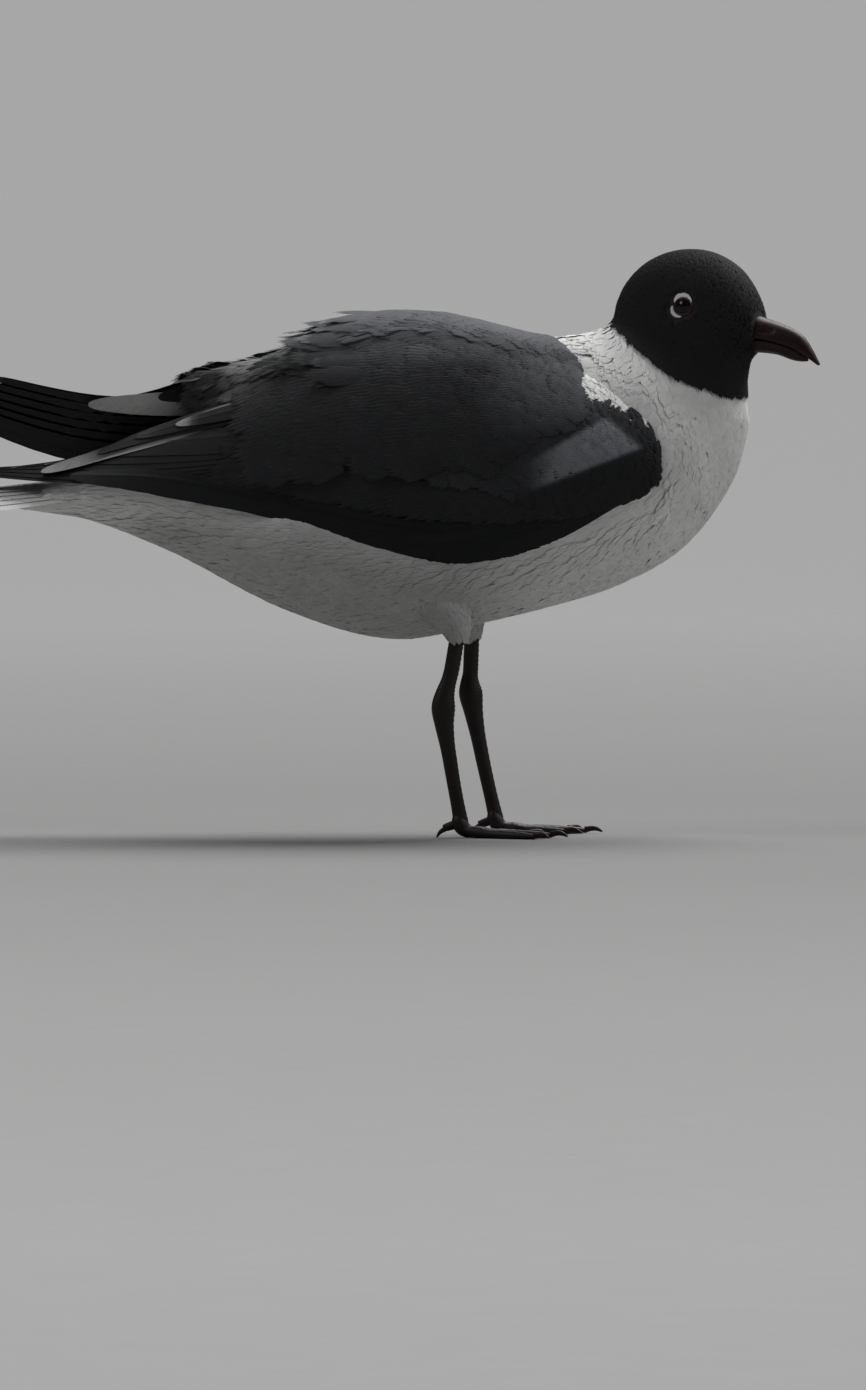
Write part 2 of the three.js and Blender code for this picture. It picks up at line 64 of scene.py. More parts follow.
# The body from the vent to the forehead: top x, z; bottom x, z; half width; height of the widest
# place as a share; turn with the head in degrees; depth of the coat.
BODY = np.array([
    [-138, 131.4, -138.5, 129, 5, 0.5, 0, 0.6],
    [-121, 135.6, -119.5, 126.7, 12, 0.5, 0, 1.4],
    [-99, 147, -98, 122.8, 18.5, 0.5, 0, 2.4],
    [-69, 160, -67, 110.6, 27, 0.5, 0, 3],
    [-39, 175, -36, 94.2, 32.5, 0.46, 0, 3],
    [-23, 193, -20, 87, 37, 0.44, 0, 3],
    [2, 203.6, 4, 79, 40.5, 0.45, 0, 3],
    [24, 204.8, 26, 77, 41.8, 0.46, 0, 3],
    [44, 203, 50, 82.5, 41.8, 0.46, 0, 3],
    [62, 198, 78, 89.2, 41.3, 0.46, 0, 3],
    [77, 194.3, 106, 98, 40, 0.45, 0, 3],
    [88, 195, 131, 112.5, 37, 0.45, 0, 2.6],
    [97, 197.3, 149, 136, 32, 0.46, 2, 2.0],
    [102, 200, 156, 157, 26.5, 0.48, 9, 1.6],
    [104, 203.5, 156.5, 170, 22.5, 0.5, 18, 1.4],
    [105, 209.5, 157, 175.5, 20.2, 0.52, 24, 1.3],
    [109.2, 217.3, 158, 179.6, 18.8, 0.54, 27, 1.2],
    [117.5, 224.3, 158.6, 182.6, 17.8, 0.55, 27, 1.1],
    [129, 228.3, 159.4, 184.9, 16.6, 0.55, 27, 1.0],
    [142, 228, 160.6, 186.6, 15, 0.53, 27, 0.9],
    [153.5, 222.6, 162, 188, 12.6, 0.5, 27, 0.8],
    [161, 213.5, 163.4, 188.9, 9.6, 0.48, 27, 0.6],
    [164.4, 205.6, 164.9, 189.6, 6.8, 0.48, 27, 0.5],
], float)
# The hood's lower edge: how far down the body it reaches, in stations, at angles round from the nape.
HOOD_EDGE_ANGLE = np.radians([0, 40, 90, 106, 124, 144, 180])
HOOD_EDGE_STATION = np.array([13.55, 13.4, 13.1, 13.35, 13.65, 13.95, 14.4])
# Where white roots end, and black skin and black roots begin, in stations past that edge.
WHITE_TO, BLACK_SKIN_FROM, BLACK_FROM = 0.12, 0.15, 0.34

# A wing from wrist to tip: x; lower edge out, up; upper edge out, up; bulge; thickness.
SHOULDER = [
    [124.2, 35, 143.5, 34, 151, 1.2, 3],
    [120.5, 37.5, 134.5, 31, 160.5, 5, 8],
    [112, 38.5, 128.3, 29, 169.5, 9.5, 12],
    [98, 39.5, 122.6, 28, 178, 12.5, 13],
    [80, 40.2, 116.3, 27.5, 185, 14.5, 13],
    [60, 40.6, 110.9, 27, 190, 15.5, 13],
    [36, 40.6, 108.4, 26.5, 192.5, 15.8, 13],
    [9, 40, 113, 25.5, 190.5, 15, 12],
]
WINGS = {
    "right": np.array(SHOULDER + [
        [-18, 37.5, 121.5, 23, 182, 12.5, 10.5],
        [-38, 34, 126, 15.5, 174, 10, 9],
        [-57, 30.5, 129.9, 8, 167.5, 7.8, 6.5],
        [-77, 27, 133.3, 3.5, 160, 5.5, 5],
        [-98, 23.5, 136, 2.5, 150.6, 3.6, 4],
        [-118, 20, 137.8, 2, 146, 2.4, 3.2],
        [-137, 16, 138.6, 1, 145.3, 1.6, 2.6],
        [-157, 11, 140.6, 0, 145.8, 1, 2],
        [-175, 5.4, 144.6, 3.6, 146, 0.3, 1.2],
    ], float),
    "left": np.array(SHOULDER + [
        [-18, 37.5, 122, 23, 186, 12.5, 10.5],
        [-38, 33.5, 128, 14, 184, 10, 9],
        [-57, 29, 133, 7, 181.2, 7.8, 6.5],
        [-77, 24, 138, 2, 174.4, 5.5, 5],
        [-98, 18, 143.6, 0, 171.6, 3.6, 4],
        [-118, 12, 149, 0, 176, 2.4, 3.2],
        [-137, 7, 156.4, -2, 179.8, 1.6, 2.6],
        [-160, 2, 167.4, -4, 182.4, 1, 2],
        [-184, -3.2, 180.2, -3.8, 182, 0.3, 1.2],
    ], float),
}
HANDS = {"right": -1, "left": 1}
WRIST_X, WING_REAR_X = 124, -105  # the part of a wing that hides the body
COAT_UNDER_WING, SLATE_UNDER_WING = 7, 9  # how far in under a wing the coat ends and slate skin starts

# The tail from root to tip: x, top, half width, arch, thickness.
TAIL = np.array([
    [-92, 139.5, 15, 8, 7],
    [-112, 138.4, 20, 8.5, 4.4],
    [-132, 136.8, 23, 8.2, 2.6],
    [-147, 135.6, 24, 7.6, 1.6],
    [-151.5, 134.9, 21, 6.6, 1.1],
], float)

# The bill's halves from the face to the tip, in the columns of BODY.
UPPER_BILL = np.array([
    [159, 205.2, 159, 193.6, 6.4, 0.2, 27, 0],
    [166.5, 202.5, 166, 193.2, 5.7, 0.2, 27, 0],
    [173, 200.5, 172.2, 192.2, 4.9, 0.2, 27, 0],
    [179, 198.2, 177.6, 190.7, 4.1, 0.2, 27, 0],
    [183.6, 195.2, 181.6, 188.9, 3.3, 0.25, 27, 0],
    [187.2, 190.4, 185.2, 187, 2.2, 0.35, 27, 0],
    [190.6, 184.6, 189.8, 184, 0.8, 0.5, 27, 0],
], float)
LOWER_BILL = np.array([
    [160, 193.2, 161.5, 188.9, 6, 0.85, 27, 0],
    [166, 192.8, 166.6, 188.7, 5.4, 0.85, 27, 0],
    [172, 191.9, 172.6, 188, 4.6, 0.85, 27, 0],
    [177.4, 190.4, 178.6, 186.1, 3.8, 0.85, 27, 0],
    [181.4, 188.6, 182.4, 185.5, 2.9, 0.8, 27, 0],
    [184.8, 186.8, 185.4, 185.6, 1.4, 0.5, 27, 0],
], float)

# The joints of each leg: x, distance out from the middle, height.
LEGS = {
    "right": {
        "knee": (32, 20, 100), "cuff": (43.6, 19.5, 78), "shin": (40.8, 19.5, 66),
        "ankle": (37.4, 19.5, 50.5), "foot": (44.4, 17.5, 5.4),
    },
    "left": {
        "knee": (38, 20, 100), "cuff": (48.6, 19.5, 78), "shin": (48.2, 19.5, 66),
        "ankle": (48.2, 19.5, 54.5), "foot": (58.2, 18.5, 5.4),
    },
}
LEG_RADII = [2.7, 2.8, 2.9, 2.9, 3, 3.7, 4.5, 3.6, 2.9, 2.7, 2.6, 2.6, 2.9]  # from cuff to foot
LEG_FLATNESS = 0.7
TOE_OUT = 10  # degrees that a foot turns outwards
TOES = {"inner": (30, 27), "middle": (37, 2), "outer": (35, -21)}  # length, and degrees inwards
CLAW_LENGTH = 5
HALLUX_LENGTH = 6.5


# ---- curves and sheets ---------------------------------------------------------------------------
def unit(vectors):
    """Each vector divided by its length."""
    return vectors / np.maximum(np.linalg.norm(vectors, axis=-1, keepdims=True), 1e-9)


def dot(a, b):
    """The product of each pair of vectors as one number, on a last axis of its own."""
    return (a * b).sum(-1, keepdims=True)


def smooth_step(low, high, value):
    """0 up to low and 1 from high on, between them 3 t^2 - 2 t^3 where t is the share of the way. Where
    low is the larger of the two it falls instead of rising."""
    t = np.clip((value - low) / (high - low), 0, 1)
    return t * t * (3 - 2 * t)


def along(keys, places):
    """Rows of keys read at places between them: a cubic through the rows, straight at both ends."""
    keys = np.asarray(keys, float)
    keys = keys[:, None] if keys.ndim == 1 else keys
    i = np.clip(np.floor(places).astype(int), 0, len(keys) - 2)
    t = (places - i)[..., None]
    a, b, c, d = (keys[np.clip(i + k, 0, len(keys) - 1)] for k in (-1, 0, 1, 2))
    slope_in = np.where((i > 0)[..., None], (c - a) / 2, c - b)
    slope_out = np.where((i < len(keys) - 2)[..., None], (d - b) / 2, c - b)
    curve = (2 * t**3 - 3 * t**2 + 1) * b + (t**3 - 2 * t**2 + t) * slope_in
    return curve + (3 * t**2 - 2 * t**3) * c + (t**3 - t**2) * slope_out


def turn_with_head(forward, side, up, degrees):
    """Turns points about the upright line through the neck, by degrees to the bird's right."""
    turn = -np.radians(degrees)
    reach = forward - HEAD_PIVOT_X
    return np.stack([
        HEAD_PIVOT_X + reach * np.cos(turn) - side * np.sin(turn),
        reach * np.sin(turn) + side * np.cos(turn),
        up + 0 * side,
    ], -1)


def body_surface(keys, stations, angles, sink):
    """Egg-shaped slices: at an angle from the top, a point lies between the slice's bottom and top
    by share = wide + cos(angle) x what is left, and half width x sin(angle) to the side. Each slice
    is first drawn in all round by the coat's depth x sink."""
    k = along(keys, stations)
    top, bottom = k[..., 0:2], k[..., 2:4]
    upwards = unit(top - bottom)
    depth = k[..., 7] * sink
    top, bottom = top - upwards * depth[..., None], bottom + upwards * depth[..., None]
    wide, height = k[..., 5], np.cos(angles)
    share = wide + height * np.where(height > 0, 1 - wide, wide)
    place = bottom + (top - bottom) * share[..., None]
    return turn_with_head(place[..., 0], (k[..., 4] - depth) * np.sin(angles), place[..., 1], k[..., 6])


def wing_surface(keys, stations, shares, hand, sink=0.0, inner=False):
    """Crescent slices: low edge + share x (high - low), swollen outwards by bulge x sin(pi share)^0.75,
    and on the inner side drawn back in by thickness x (0.22 + 0.78 sin(pi share)). A sink draws both
    sides in by so many mm."""
    k = along(keys, stations)
    low, high = k[..., 1:3], k[..., 3:5]
    chord = unit(high - low)
    outwards = np.stack([chord[..., 1], -chord[..., 0]], -1)
    swell = np.maximum(np.sin(np.pi * np.clip(shares, 0, 1)), 0) ** 0.75 * k[..., 5] - sink
    if inner:
        swell = swell - k[..., 6] * (0.22 + 0.78 * np.sin(np.pi * np.clip(shares, 0, 1))) + 2 * sink
    place = low + (high - low) * shares[..., None] + outwards * swell[..., None]
    return np.stack([k[..., 0], hand * place[..., 0], place[..., 1]], -1)


class Sheet:
    """A surface told by a grid of points, with its outward direction and its two grid directions."""

    def __init__(self, points, closed, inside):
        self.points, self.closed = points, closed
        rows = np.concatenate([points[:, -1:], points, points[:, :1]], 1) if closed else points
        across = np.gradient(rows, axis=1)
        self.across = across[:, 1:-1] if closed else across
        self.down = np.gradient(points, axis=0)
        out = np.cross(self.down, self.across)
        self.out = unit(out) * np.sign((out * (points - inside)).sum())

    def read(self, field, a, b):
        """The field between grid places by straight lines, carried on past an open edge."""
        na, nb = field.shape[:2]
        i = np.clip(np.floor(a).astype(int), 0, na - 2)
        j = np.floor(b).astype(int) if self.closed else np.clip(np.floor(b).astype(int), 0, nb - 2)
        fa, fb = (a - i)[..., None], (b - j)[..., None]
        j, k = (j % nb, (j + 1) % nb) if self.closed else (j, j + 1)
        near = field[i, j] * (1 - fb) + field[i, k] * fb
        far = field[i + 1, j] * (1 - fb) + field[i + 1, k] * fb
        return near * (1 - fa) + far * fa

    def step(self, a, b, move):
        """How far the grid places change for a small move along the surface."""
        down, across = self.read(self.down, a, b), self.read(self.across, a, b)
        dd, da, aa = dot(down, down), dot(down, across), dot(across, across)
        m, n = dot(move, down), dot(move, across)
        det = np.maximum(dd * aa - da * da, 1e-9)
        return ((aa * m - da * n) / det)[..., 0], ((dd * n - da * m) / det)[..., 0]

    def path(self, a, b):
        """Paths through given grid places: points, outward directions, headings kept in the surface,
        and the places themselves."""
        points, out = self.read(self.points, a, b), unit(self.read(self.out, a, b))
        ahead = np.gradient(points, axis=1)
        return points, out, unit(ahead - dot(ahead, out) * out), a, b

    def row_at(self, x, column=0):
        """The row at which a column of the sheet passes each x, for a sheet whose x falls by rows."""
        return np.interp(-x, -self.points[:, column, 0], np.arange(len(self.points)))

    def bake_place(self, a, b):
        """Where a root falls on the sheet laid flat, a hundredth clear of the edges, for the map that
        the finish is baked with."""
        na, nb = self.points.shape[:2]
        return np.stack([0.01 + 0.98 * a / na, 0.01 + 0.98 * (b % nb) / nb], -1)


def grid(first, last, count_down, low, high, count_across, round_the_back=False):
    """Two arrays of grid values: the first runs down the rows and the second across the columns,
    without the last column where it would fall on the first."""
    down = np.linspace(first, last, count_down)
    across = np.linspace(low, high, count_across, endpoint=not round_the_back)
    return np.meshgrid(down, across, indexing="ij")


BODY_ROWS, BODY_COLUMNS = 12, 120  # rows to a station, and columns round the body


def body_sheet():
    """The body under its coat, closed round, its rows running from the vent to the forehead."""
    last = len(BODY) - 1
    stations, angles = grid(0, last, last * BODY_ROWS + 1, 0, 2 * np.pi, BODY_COLUMNS, True)
    return Sheet(body_surface(BODY, stations, angles, 1.0), True, np.array([40, 0, 150]))


WING_ROWS, WING_COLUMNS = 8, 48  # rows to a station, and columns from the low to the high edge


def wing_grid(keys):
    """Stations along a wing, and shares of its height from the low to the high edge."""
    last = len(keys) - 1
    return grid(0, last, last * WING_ROWS + 1, 0, 1, WING_COLUMNS + 1)


def wing_sheet(side):
    """A folded wing all round: up the outer side from the low edge and down the inner side."""
    keys, hand = WINGS[side], HANDS[side]
    stations, shares = wing_grid(keys)
    outer = wing_surface(keys, stations, shares, hand)
    inner = wing_surface(keys, stations, shares, hand, 0, True)[:, -2:0:-1]
    return Sheet(np.concatenate([outer, inner], 1), True, outer.mean((0, 1)))


def outer_half(sheet):
    """The part of a wing sheet on the outer side, as an open sheet."""
    return Sheet(sheet.points[:, : WING_COLUMNS + 1], False, np.array([20, 0, 150]))


def inner_half(side):
    """The side of a folded wing that faces the bird's back, as an open sheet."""
    keys, hand = WINGS[side], HANDS[side]
    stations, shares = wing_grid(keys)
    inner = wing_surface(keys, stations, shares, hand, 0, True)
    return Sheet(inner, False, np.array([20, hand * 90, 150]))


def lay(sheet, route, strides):
    """Paths over a wing's sheet through places given as (x, up) seen from the side, in equal strides."""
    route = np.asarray(route, float)
    fine = np.linspace(0, route.shape[1] - 1, 6 * strides + 1)
    seen = np.stack([along(feather, fine) for feather in route])
    steps = np.linalg.norm(np.diff(seen, axis=1), axis=-1)
    run = np.concatenate([np.zeros((len(seen), 1)), np.cumsum(steps, 1)], 1)
    even = [
        [np.interp(np.linspace(0, gone[-1], strides + 1), gone, places[:, k]) for k in (0, 1)]
        for gone, places in zip(run, seen)
    ]
    x, z = np.array(even).transpose(1, 0, 2)
    a = sheet.row_at(x)
    i = np.clip(np.floor(a).astype(int), 0, len(sheet.points) - 2)
    f = (a - i)[..., None]
    heights = sheet.points[i, :, 2] * (1 - f) + sheet.points[i + 1, :, 2] * f
    j = np.clip((heights < z[..., None]).sum(-1) - 1, 0, heights.shape[-1] - 2)[..., None]
    low, high = np.take_along_axis(heights, j, -1), np.take_along_axis(heights, j + 1, -1)
    # A place above or below the sheet is carried on by up to four columns.
    b = j[..., 0] + np.clip(((z[..., None] - low) / np.maximum(high - low, 0.05))[..., 0], -4, 5)
    return sheet.path(a, b)


# ---- feathers ------------------------------------------------------------------------------------
SLANTED = np.array([[0.8, 0.48, -0.36], [-0.6, 0.64, -0.48], [0, 0.6, 0.8]])  # turns the stack of cubes
CUBE_SIDE = 0.93  # of the spacing between roots
CUBE_REACH = 0.62  # of a cube's side
TRIES = 9  # random places to a square of the spacing


def scatter(sheet, spacing, keep):
    """Roots spread evenly over a sheet: of many random places, the one nearest the middle of each
    cube of a slanted stack of cubes, where it is within CUBE_REACH of that middle."""
    a, b = np.indices(sheet.points.shape[:2])
    area = np.linalg.norm(np.cross(sheet.down, sheet.across), axis=-1) * keep(sheet.points, a, b)
    tries = int(area.sum() / spacing**2 * TRIES)
    cell = chance.choice(area.size, tries, p=(area / area.sum()).ravel())
    a = np.minimum(cell // area.shape[1] + chance.random(tries), area.shape[0] - 1.001)
    b = cell % area.shape[1] + chance.random(tries)
    b = b if sheet.closed else np.minimum(b, area.shape[1] - 1.001)
    places = sheet.read(sheet.points, a, b) @ SLANTED / (CUBE_SIDE * spacing)
    cubes = np.floor(places).astype(int)
    off = np.linalg.norm(places - cubes - 0.5, axis=1)
    order = np.argsort(off)
    kept = order[np.unique(cubes[order], axis=0, return_index=True)[1]]
    kept = kept[off[kept] < CUBE_REACH]
    return a[kept], b[kept]


def walk(sheet, a, b, heading, length, strides):
    """Paths from roots over a sheet in equal strides, the heading kept in the surface."""
    places = []
    for _ in range(strides + 1):
        out = sheet.read(sheet.out, a, b)
        heading = unit(heading - dot(heading, out) * out)
        places.append((sheet.read(sheet.points, a, b), unit(out), heading, a, b))
        da, db = sheet.step(a, b, heading * (length / strides)[..., None])
        a, b = a + da, b + db
    return [np.stack(part, 1) for part in zip(*places)]


def spread_heading(sheet, a, b, heading, degrees):
    """The heading turned in the surface by a random angle of about so many degrees."""
    out = unit(sheet.read(sheet.out, a, b))
    heading = unit(heading - dot(heading, out) * out)
    turn = np.radians(chance.normal(0, degrees, len(a)))[:, None]
    return heading * np.cos(turn) + np.cross(out, heading) * np.sin(turn)


def tube_faces(rings, sides, first=0):
    """Triangles of a closed tube of rings of equal sides, with a fan to a middle point at each end."""
    r, s = np.meshgrid(np.arange(rings - 1), np.arange(sides), indexing="ij")
    here, beside = r * sides + s, r * sides + (s + 1) % sides
    wall = np.stack([here, beside, beside + sides, here, beside + sides, here + sides], -1).reshape(-1, 3)
    s = np.arange(sides)
    start = np.stack([(s + 1) % sides, s, np.full(sides, rings * sides)], -1)
    end = np.stack([s, (s + 1) % sides, np.full(sides, rings * sides + 1)], -1)
    end[:, :2] += (rings - 1) * sides
    return np.concatenate([wall, start, end]) + first


def with_end_points(rings):
    """Ring points (..., rings, sides, 3) as one list, followed by the middles of both end rings."""
    flat = rings.reshape(*rings.shape[:-3], -1, rings.shape[-1])
    ends = [rings[..., k, :, :].mean(-2, keepdims=True) for k in (0, -1)]
    return np.concatenate([flat, *ends], -2)


def tuft_shape(barbs, root=0.45, rounding=0.2):
    """A soft feather as a fan of barbs: closed three-sided blades from one root to a rounded edge,
    tips at 1 - rounding x side^2, every other one a little shorter."""
    blades, faces = [], []
    rings, sides = 4, 3
    r, q = np.meshgrid(np.arange(rings - 1), np.arange(sides), indexing="ij")
    here, beside = r * sides + q, r * sides + (q + 1) % sides
    wall = np.stack([here, here + sides, beside + sides, here, beside + sides, beside], -1).reshape(-1, 3)
    last = (rings - 1) * sides
    blade = np.concatenate([wall, [[0, 1, 2], [last, last + 2, last + 1]]])
    for number, side in enumerate(np.linspace(-1, 1, barbs)):
        start, tip = 0.0 if abs(side) < 0.3 else 0.14, 1 - rounding * side**2 - 0.05 * (number % 2)
        s = start + (tip - start) * np.array([0, 0.5, 0.82, 1.0])
        half = (1.75 / barbs) * np.array([0.6, 1, 0.8, 0.04])
        middle = side * (1 - 0.8 / barbs) * np.array([root, 0.9, 1.0, 1.05])
        across = np.array([-1.0, 0, 1.0])
        blades.append(np.stack([
            s[:, None] + 0 * across,
            middle[:, None] + half[:, None] * across,
            np.array([1, 1, 1, 0.4])[:, None] * np.array([0, 1, 0]),
            np.ones((4, 1)) * across,
        ], -1).reshape(-1, 4))
        faces.append(blade + number * rings * sides)
    return np.concatenate(blades), np.concatenate(faces)


def flight_shape(rows, tip=2.0, neck=0.45, widest=0.4, shaft=0.0):
    """A long closed vane: rows down its length, each running over the top and back beneath. Its half
    width grows from the neck to the widest share as a quarter of a sine, then closes as
    (1 - x^tip)^(1/tip). A raised shaft runs down its top at a share of the half width, and thins
    towards the tip."""
    s = np.minimum(1 - (1 - np.linspace(0, 1, rows)) ** 1.6, 0.999)
    grown = neck + (1 - neck) * np.sin(np.pi / 2 * np.clip(s / widest, 0, 1))
    closing = np.clip((s - widest) / (1 - widest), 0, 1)
    half = grown * (1 - closing**tip) ** (1 / tip)
    over = np.concatenate([np.linspace(-1, shaft - 0.09, 4), [shaft], np.linspace(shaft + 0.09, 1, 4)])
    under = over[-2:0:-1]
    ridge = np.concatenate([(over == shaft) * 1.0, (under == shaft) * -1.0])
    flat = np.concatenate([0.5 * np.sqrt(1 - over**2 * 0.999), -0.5 * np.sqrt(1 - under**2)])
    t = np.concatenate([over, under])
    h = flat + ridge * (1.1 - 0.9 * s[:, None])
    tilt = np.where(np.abs(np.abs(t - shaft) - 0.09) < 0.01, np.sign(t - shaft) * 0.6, 0)
    rings = np.stack([s[:, None] + 0 * t, half[:, None] * t, h, tilt + 0 * h], -1)
    return with_end_points(rings), tube_faces(rows, len(t))[:, ::-1]


def drape(path, shape, width, thick, lift, camber=0.0):
    """A shape laid along each path. lift (root, tip, bend) raises it from root to tip as s^bend, or,
    for a bend below 0, as 1 - (1 - s)^-bend, which lies flat at the tip. A fourth value tucks the tip
    down by value x s^5. camber lowers its sides by camber x t^2 x half width. Gives points and soft
    normals."""
    points, outs, aheads = path[:3]
    template, _ = shape
    s, t, h, tilt = template.T
    strides = points.shape[1] - 1
    i = np.clip(np.floor(s * strides).astype(int), 0, strides - 1)
    f = (s * strides - i)[None, :, None]
    middle, out, ahead = (part[:, i] * (1 - f) + part[:, i + 1] * f for part in (points, outs, aheads))
    side = np.cross(out, ahead)
    root, tip, bend, tuck = (*lift, 0)[:4]
    root = np.asarray(root)[..., None]
    rise = s**bend if bend > 0 else 1 - (1 - s) ** -bend
    half = (width / 2)[:, None] * t
    raised = root + (np.asarray(tip)[..., None] - root) * rise + h * thick
    raised = raised - camber * t**2 * width[:, None] / 2 - tuck * s**5
    where = middle + side * half[..., None] + out * raised[..., None]
    soft = unit(out + side * (0.15 * t + 0.3 * tilt)[None, :, None] + ahead * (0.12 * s)[None, :, None])
    return where, np.where((h < -0.01)[None, :, None], -soft, soft)


BAKE_PATCH = 0.0014  # half the size of one feather's patch on the map for baking


class Plumage:
    """Feathers gathered for one mesh, with what their finish needs at each point."""

    def __init__(self):
        self.parts, self.count = [], 0

    def add(self, sheet, path, shape, width, thick, lift, shade, pale=None, camber=0.0, tone=None):
        """One feather of the shape on each path. shade is each feather's tone, or one for all of them, and
        the function tone multiplies it by place with painted light and shade; pale is how white each of its
        points is."""
        where, soft = drape(path, shape, width, thick, lift, camber)
        template, faces = shape
        number, points = where.shape[:2]
        patch = np.stack([template[:, 1], template[:, 0] * 2 - 1], -1) * BAKE_PATCH
        bake = sheet.bake_place(path[3][:, 0], path[4][:, 0])[:, None] + patch
        length = np.linalg.norm(np.diff(path[0], axis=1), axis=-1).sum(1)
        vane = np.stack([width[:, None] / 2 * template[:, 1], length[:, None] * template[:, 0]], -1)
        pale = np.zeros((number, points)) if pale is None else pale
        shade = np.broadcast_to(np.broadcast_to(shade, number)[:, None], (number, points))
        if tone is not None:
            # tone paints light and shade into the colour by place.
            shade = shade * tone(where)
        starts = self.count + np.arange(number)[:, None, None] * points
        self.parts.append((
            where.reshape(-1, 3), soft.reshape(-1, 3), bake.reshape(-1, 2), vane.reshape(-1, 2),
            shade.ravel(), pale.ravel(), (faces[None] + starts).reshape(-1, 3),
        ))
        self.count += number * points

    def make(self, name, material, slot, stands_for=()):
        """All the feathers as one mesh with the maps OFBake and Vane, the latter in centimetres across
        and along each feather, and the attributes shade and pale."""
        where, soft, bake, vane, shade, pale, faces = (np.concatenate(part) for part in zip(*self.parts))
        piece = mesh_piece(name, where, faces, material, slot, stands_for)
        mesh = piece.data
        for title, places in (("OFBake", bake), ("Vane", vane * 0.1)):
            layer = mesh.uv_layers.new(name=title)
            layer.uv.foreach_set("vector", places[faces.ravel()].ravel())
        for title, values in (("shade", shade), ("pale", pale)):
            mesh.attributes.new(title, "FLOAT", "POINT").data.foreach_set("value", values)
        mesh.normals_split_custom_set_from_vertices(soft)
        return piece


def mesh_piece(name, points, faces, material, slot=None, stands_for=(), smooth=True):
    """A mesh object at the origin from points in mm and triangles, riding with the bird."""
    mesh = bpy.data.meshes.new(name)
    mesh.vertices.add(len(points))
    mesh.vertices.foreach_set("co", (np.asarray(points) * MM).ravel())
    mesh.loops.add(faces.size)
    mesh.loops.foreach_set("vertex_index", faces.ravel())
    mesh.polygons.add(len(faces))
    mesh.polygons.foreach_set("loop_start", np.arange(len(faces)) * 3)
    mesh.update(calc_edges=True)
    mesh.polygons.foreach_set("use_smooth", np.full(len(faces), smooth))
    mesh.materials.append(material)
    piece = bpy.data.objects.new(name, mesh)
    bpy.context.scene.collection.objects.link(piece)
    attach(piece, "root")
    if stands_for:
        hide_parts(*stands_for)
    return piece


# ---- finishes ------------------------------------------------------------------------------------
def give(tree, socket, value):
    """Gives a node's input its value, or links it where the value is another node's output."""
    if isinstance(value, bpy.types.NodeSocket):
        tree.links.new(value, socket)
    else:
        socket.default_value = value


class Finish:
    """A node material being built: nodes by type, with inputs given as values or as links."""

    def __init__(self, name, **principled):
        self.material = bpy.data.materials.new(name)
        self.material.use_nodes = True
        self.tree = self.material.node_tree
        self.shader = self.tree.nodes["Principled BSDF"]
        for socket, value in principled.items():
            self.shader.inputs[socket.replace("_", " ")].default_value = value

    def node(self, kind, settings=None, **inputs):
        """A node of a kind. An input is named by its socket with _ for a space, or by _ and a number."""
        made = self.tree.nodes.new(kind)
        for key, value in (settings or {}).items():
            setattr(made, key, value)
        for key, value in inputs.items():
            socket = int(key[1:]) if key[1:].isdigit() else key.replace("_", " ")
            give(self.tree, made.inputs[socket], value)
        return made

    def place(self):
        """Where a point lies in the piece's own space, in metres."""
        return self.node("ShaderNodeTexCoord").outputs["Object"]

    def feed(self, socket, source):
        """Links an output to the shader."""
        self.tree.links.new(source, self.shader.inputs[socket])

    def roughen(self, strength, distance, height):
        """Feeds the shader's Normal from a height."""
        made = self.node("ShaderNodeBump", Strength=strength, Distance=distance, Height=height)
        self.feed("Normal", made.outputs[0])

    def attribute(self, name):
        """A number stored on the mesh's points."""
        return self.node("ShaderNodeAttribute", {"attribute_name": name}).outputs["Fac"]

    def math(self, operation, a, b):
        """A product, or another operation by name, of two values."""
        return self.node("ShaderNodeMath", {"operation": operation}, _0=a, _1=b).outputs[0]

    def mix(self, factor, a, b, how="MIX"):
        """Two colours blended by a factor."""
        made = self.node("ShaderNodeMix", {"data_type": "RGBA", "blend_type": how}, Factor=factor)
        give(self.tree, made.inputs[6], a)
        give(self.tree, made.inputs[7], b)
        return made.outputs[2]

    def grey(self, value):
        """A value as a grey colour."""
        return self.node("ShaderNodeCombineColor", Red=value, Green=value, Blue=value).outputs[0]


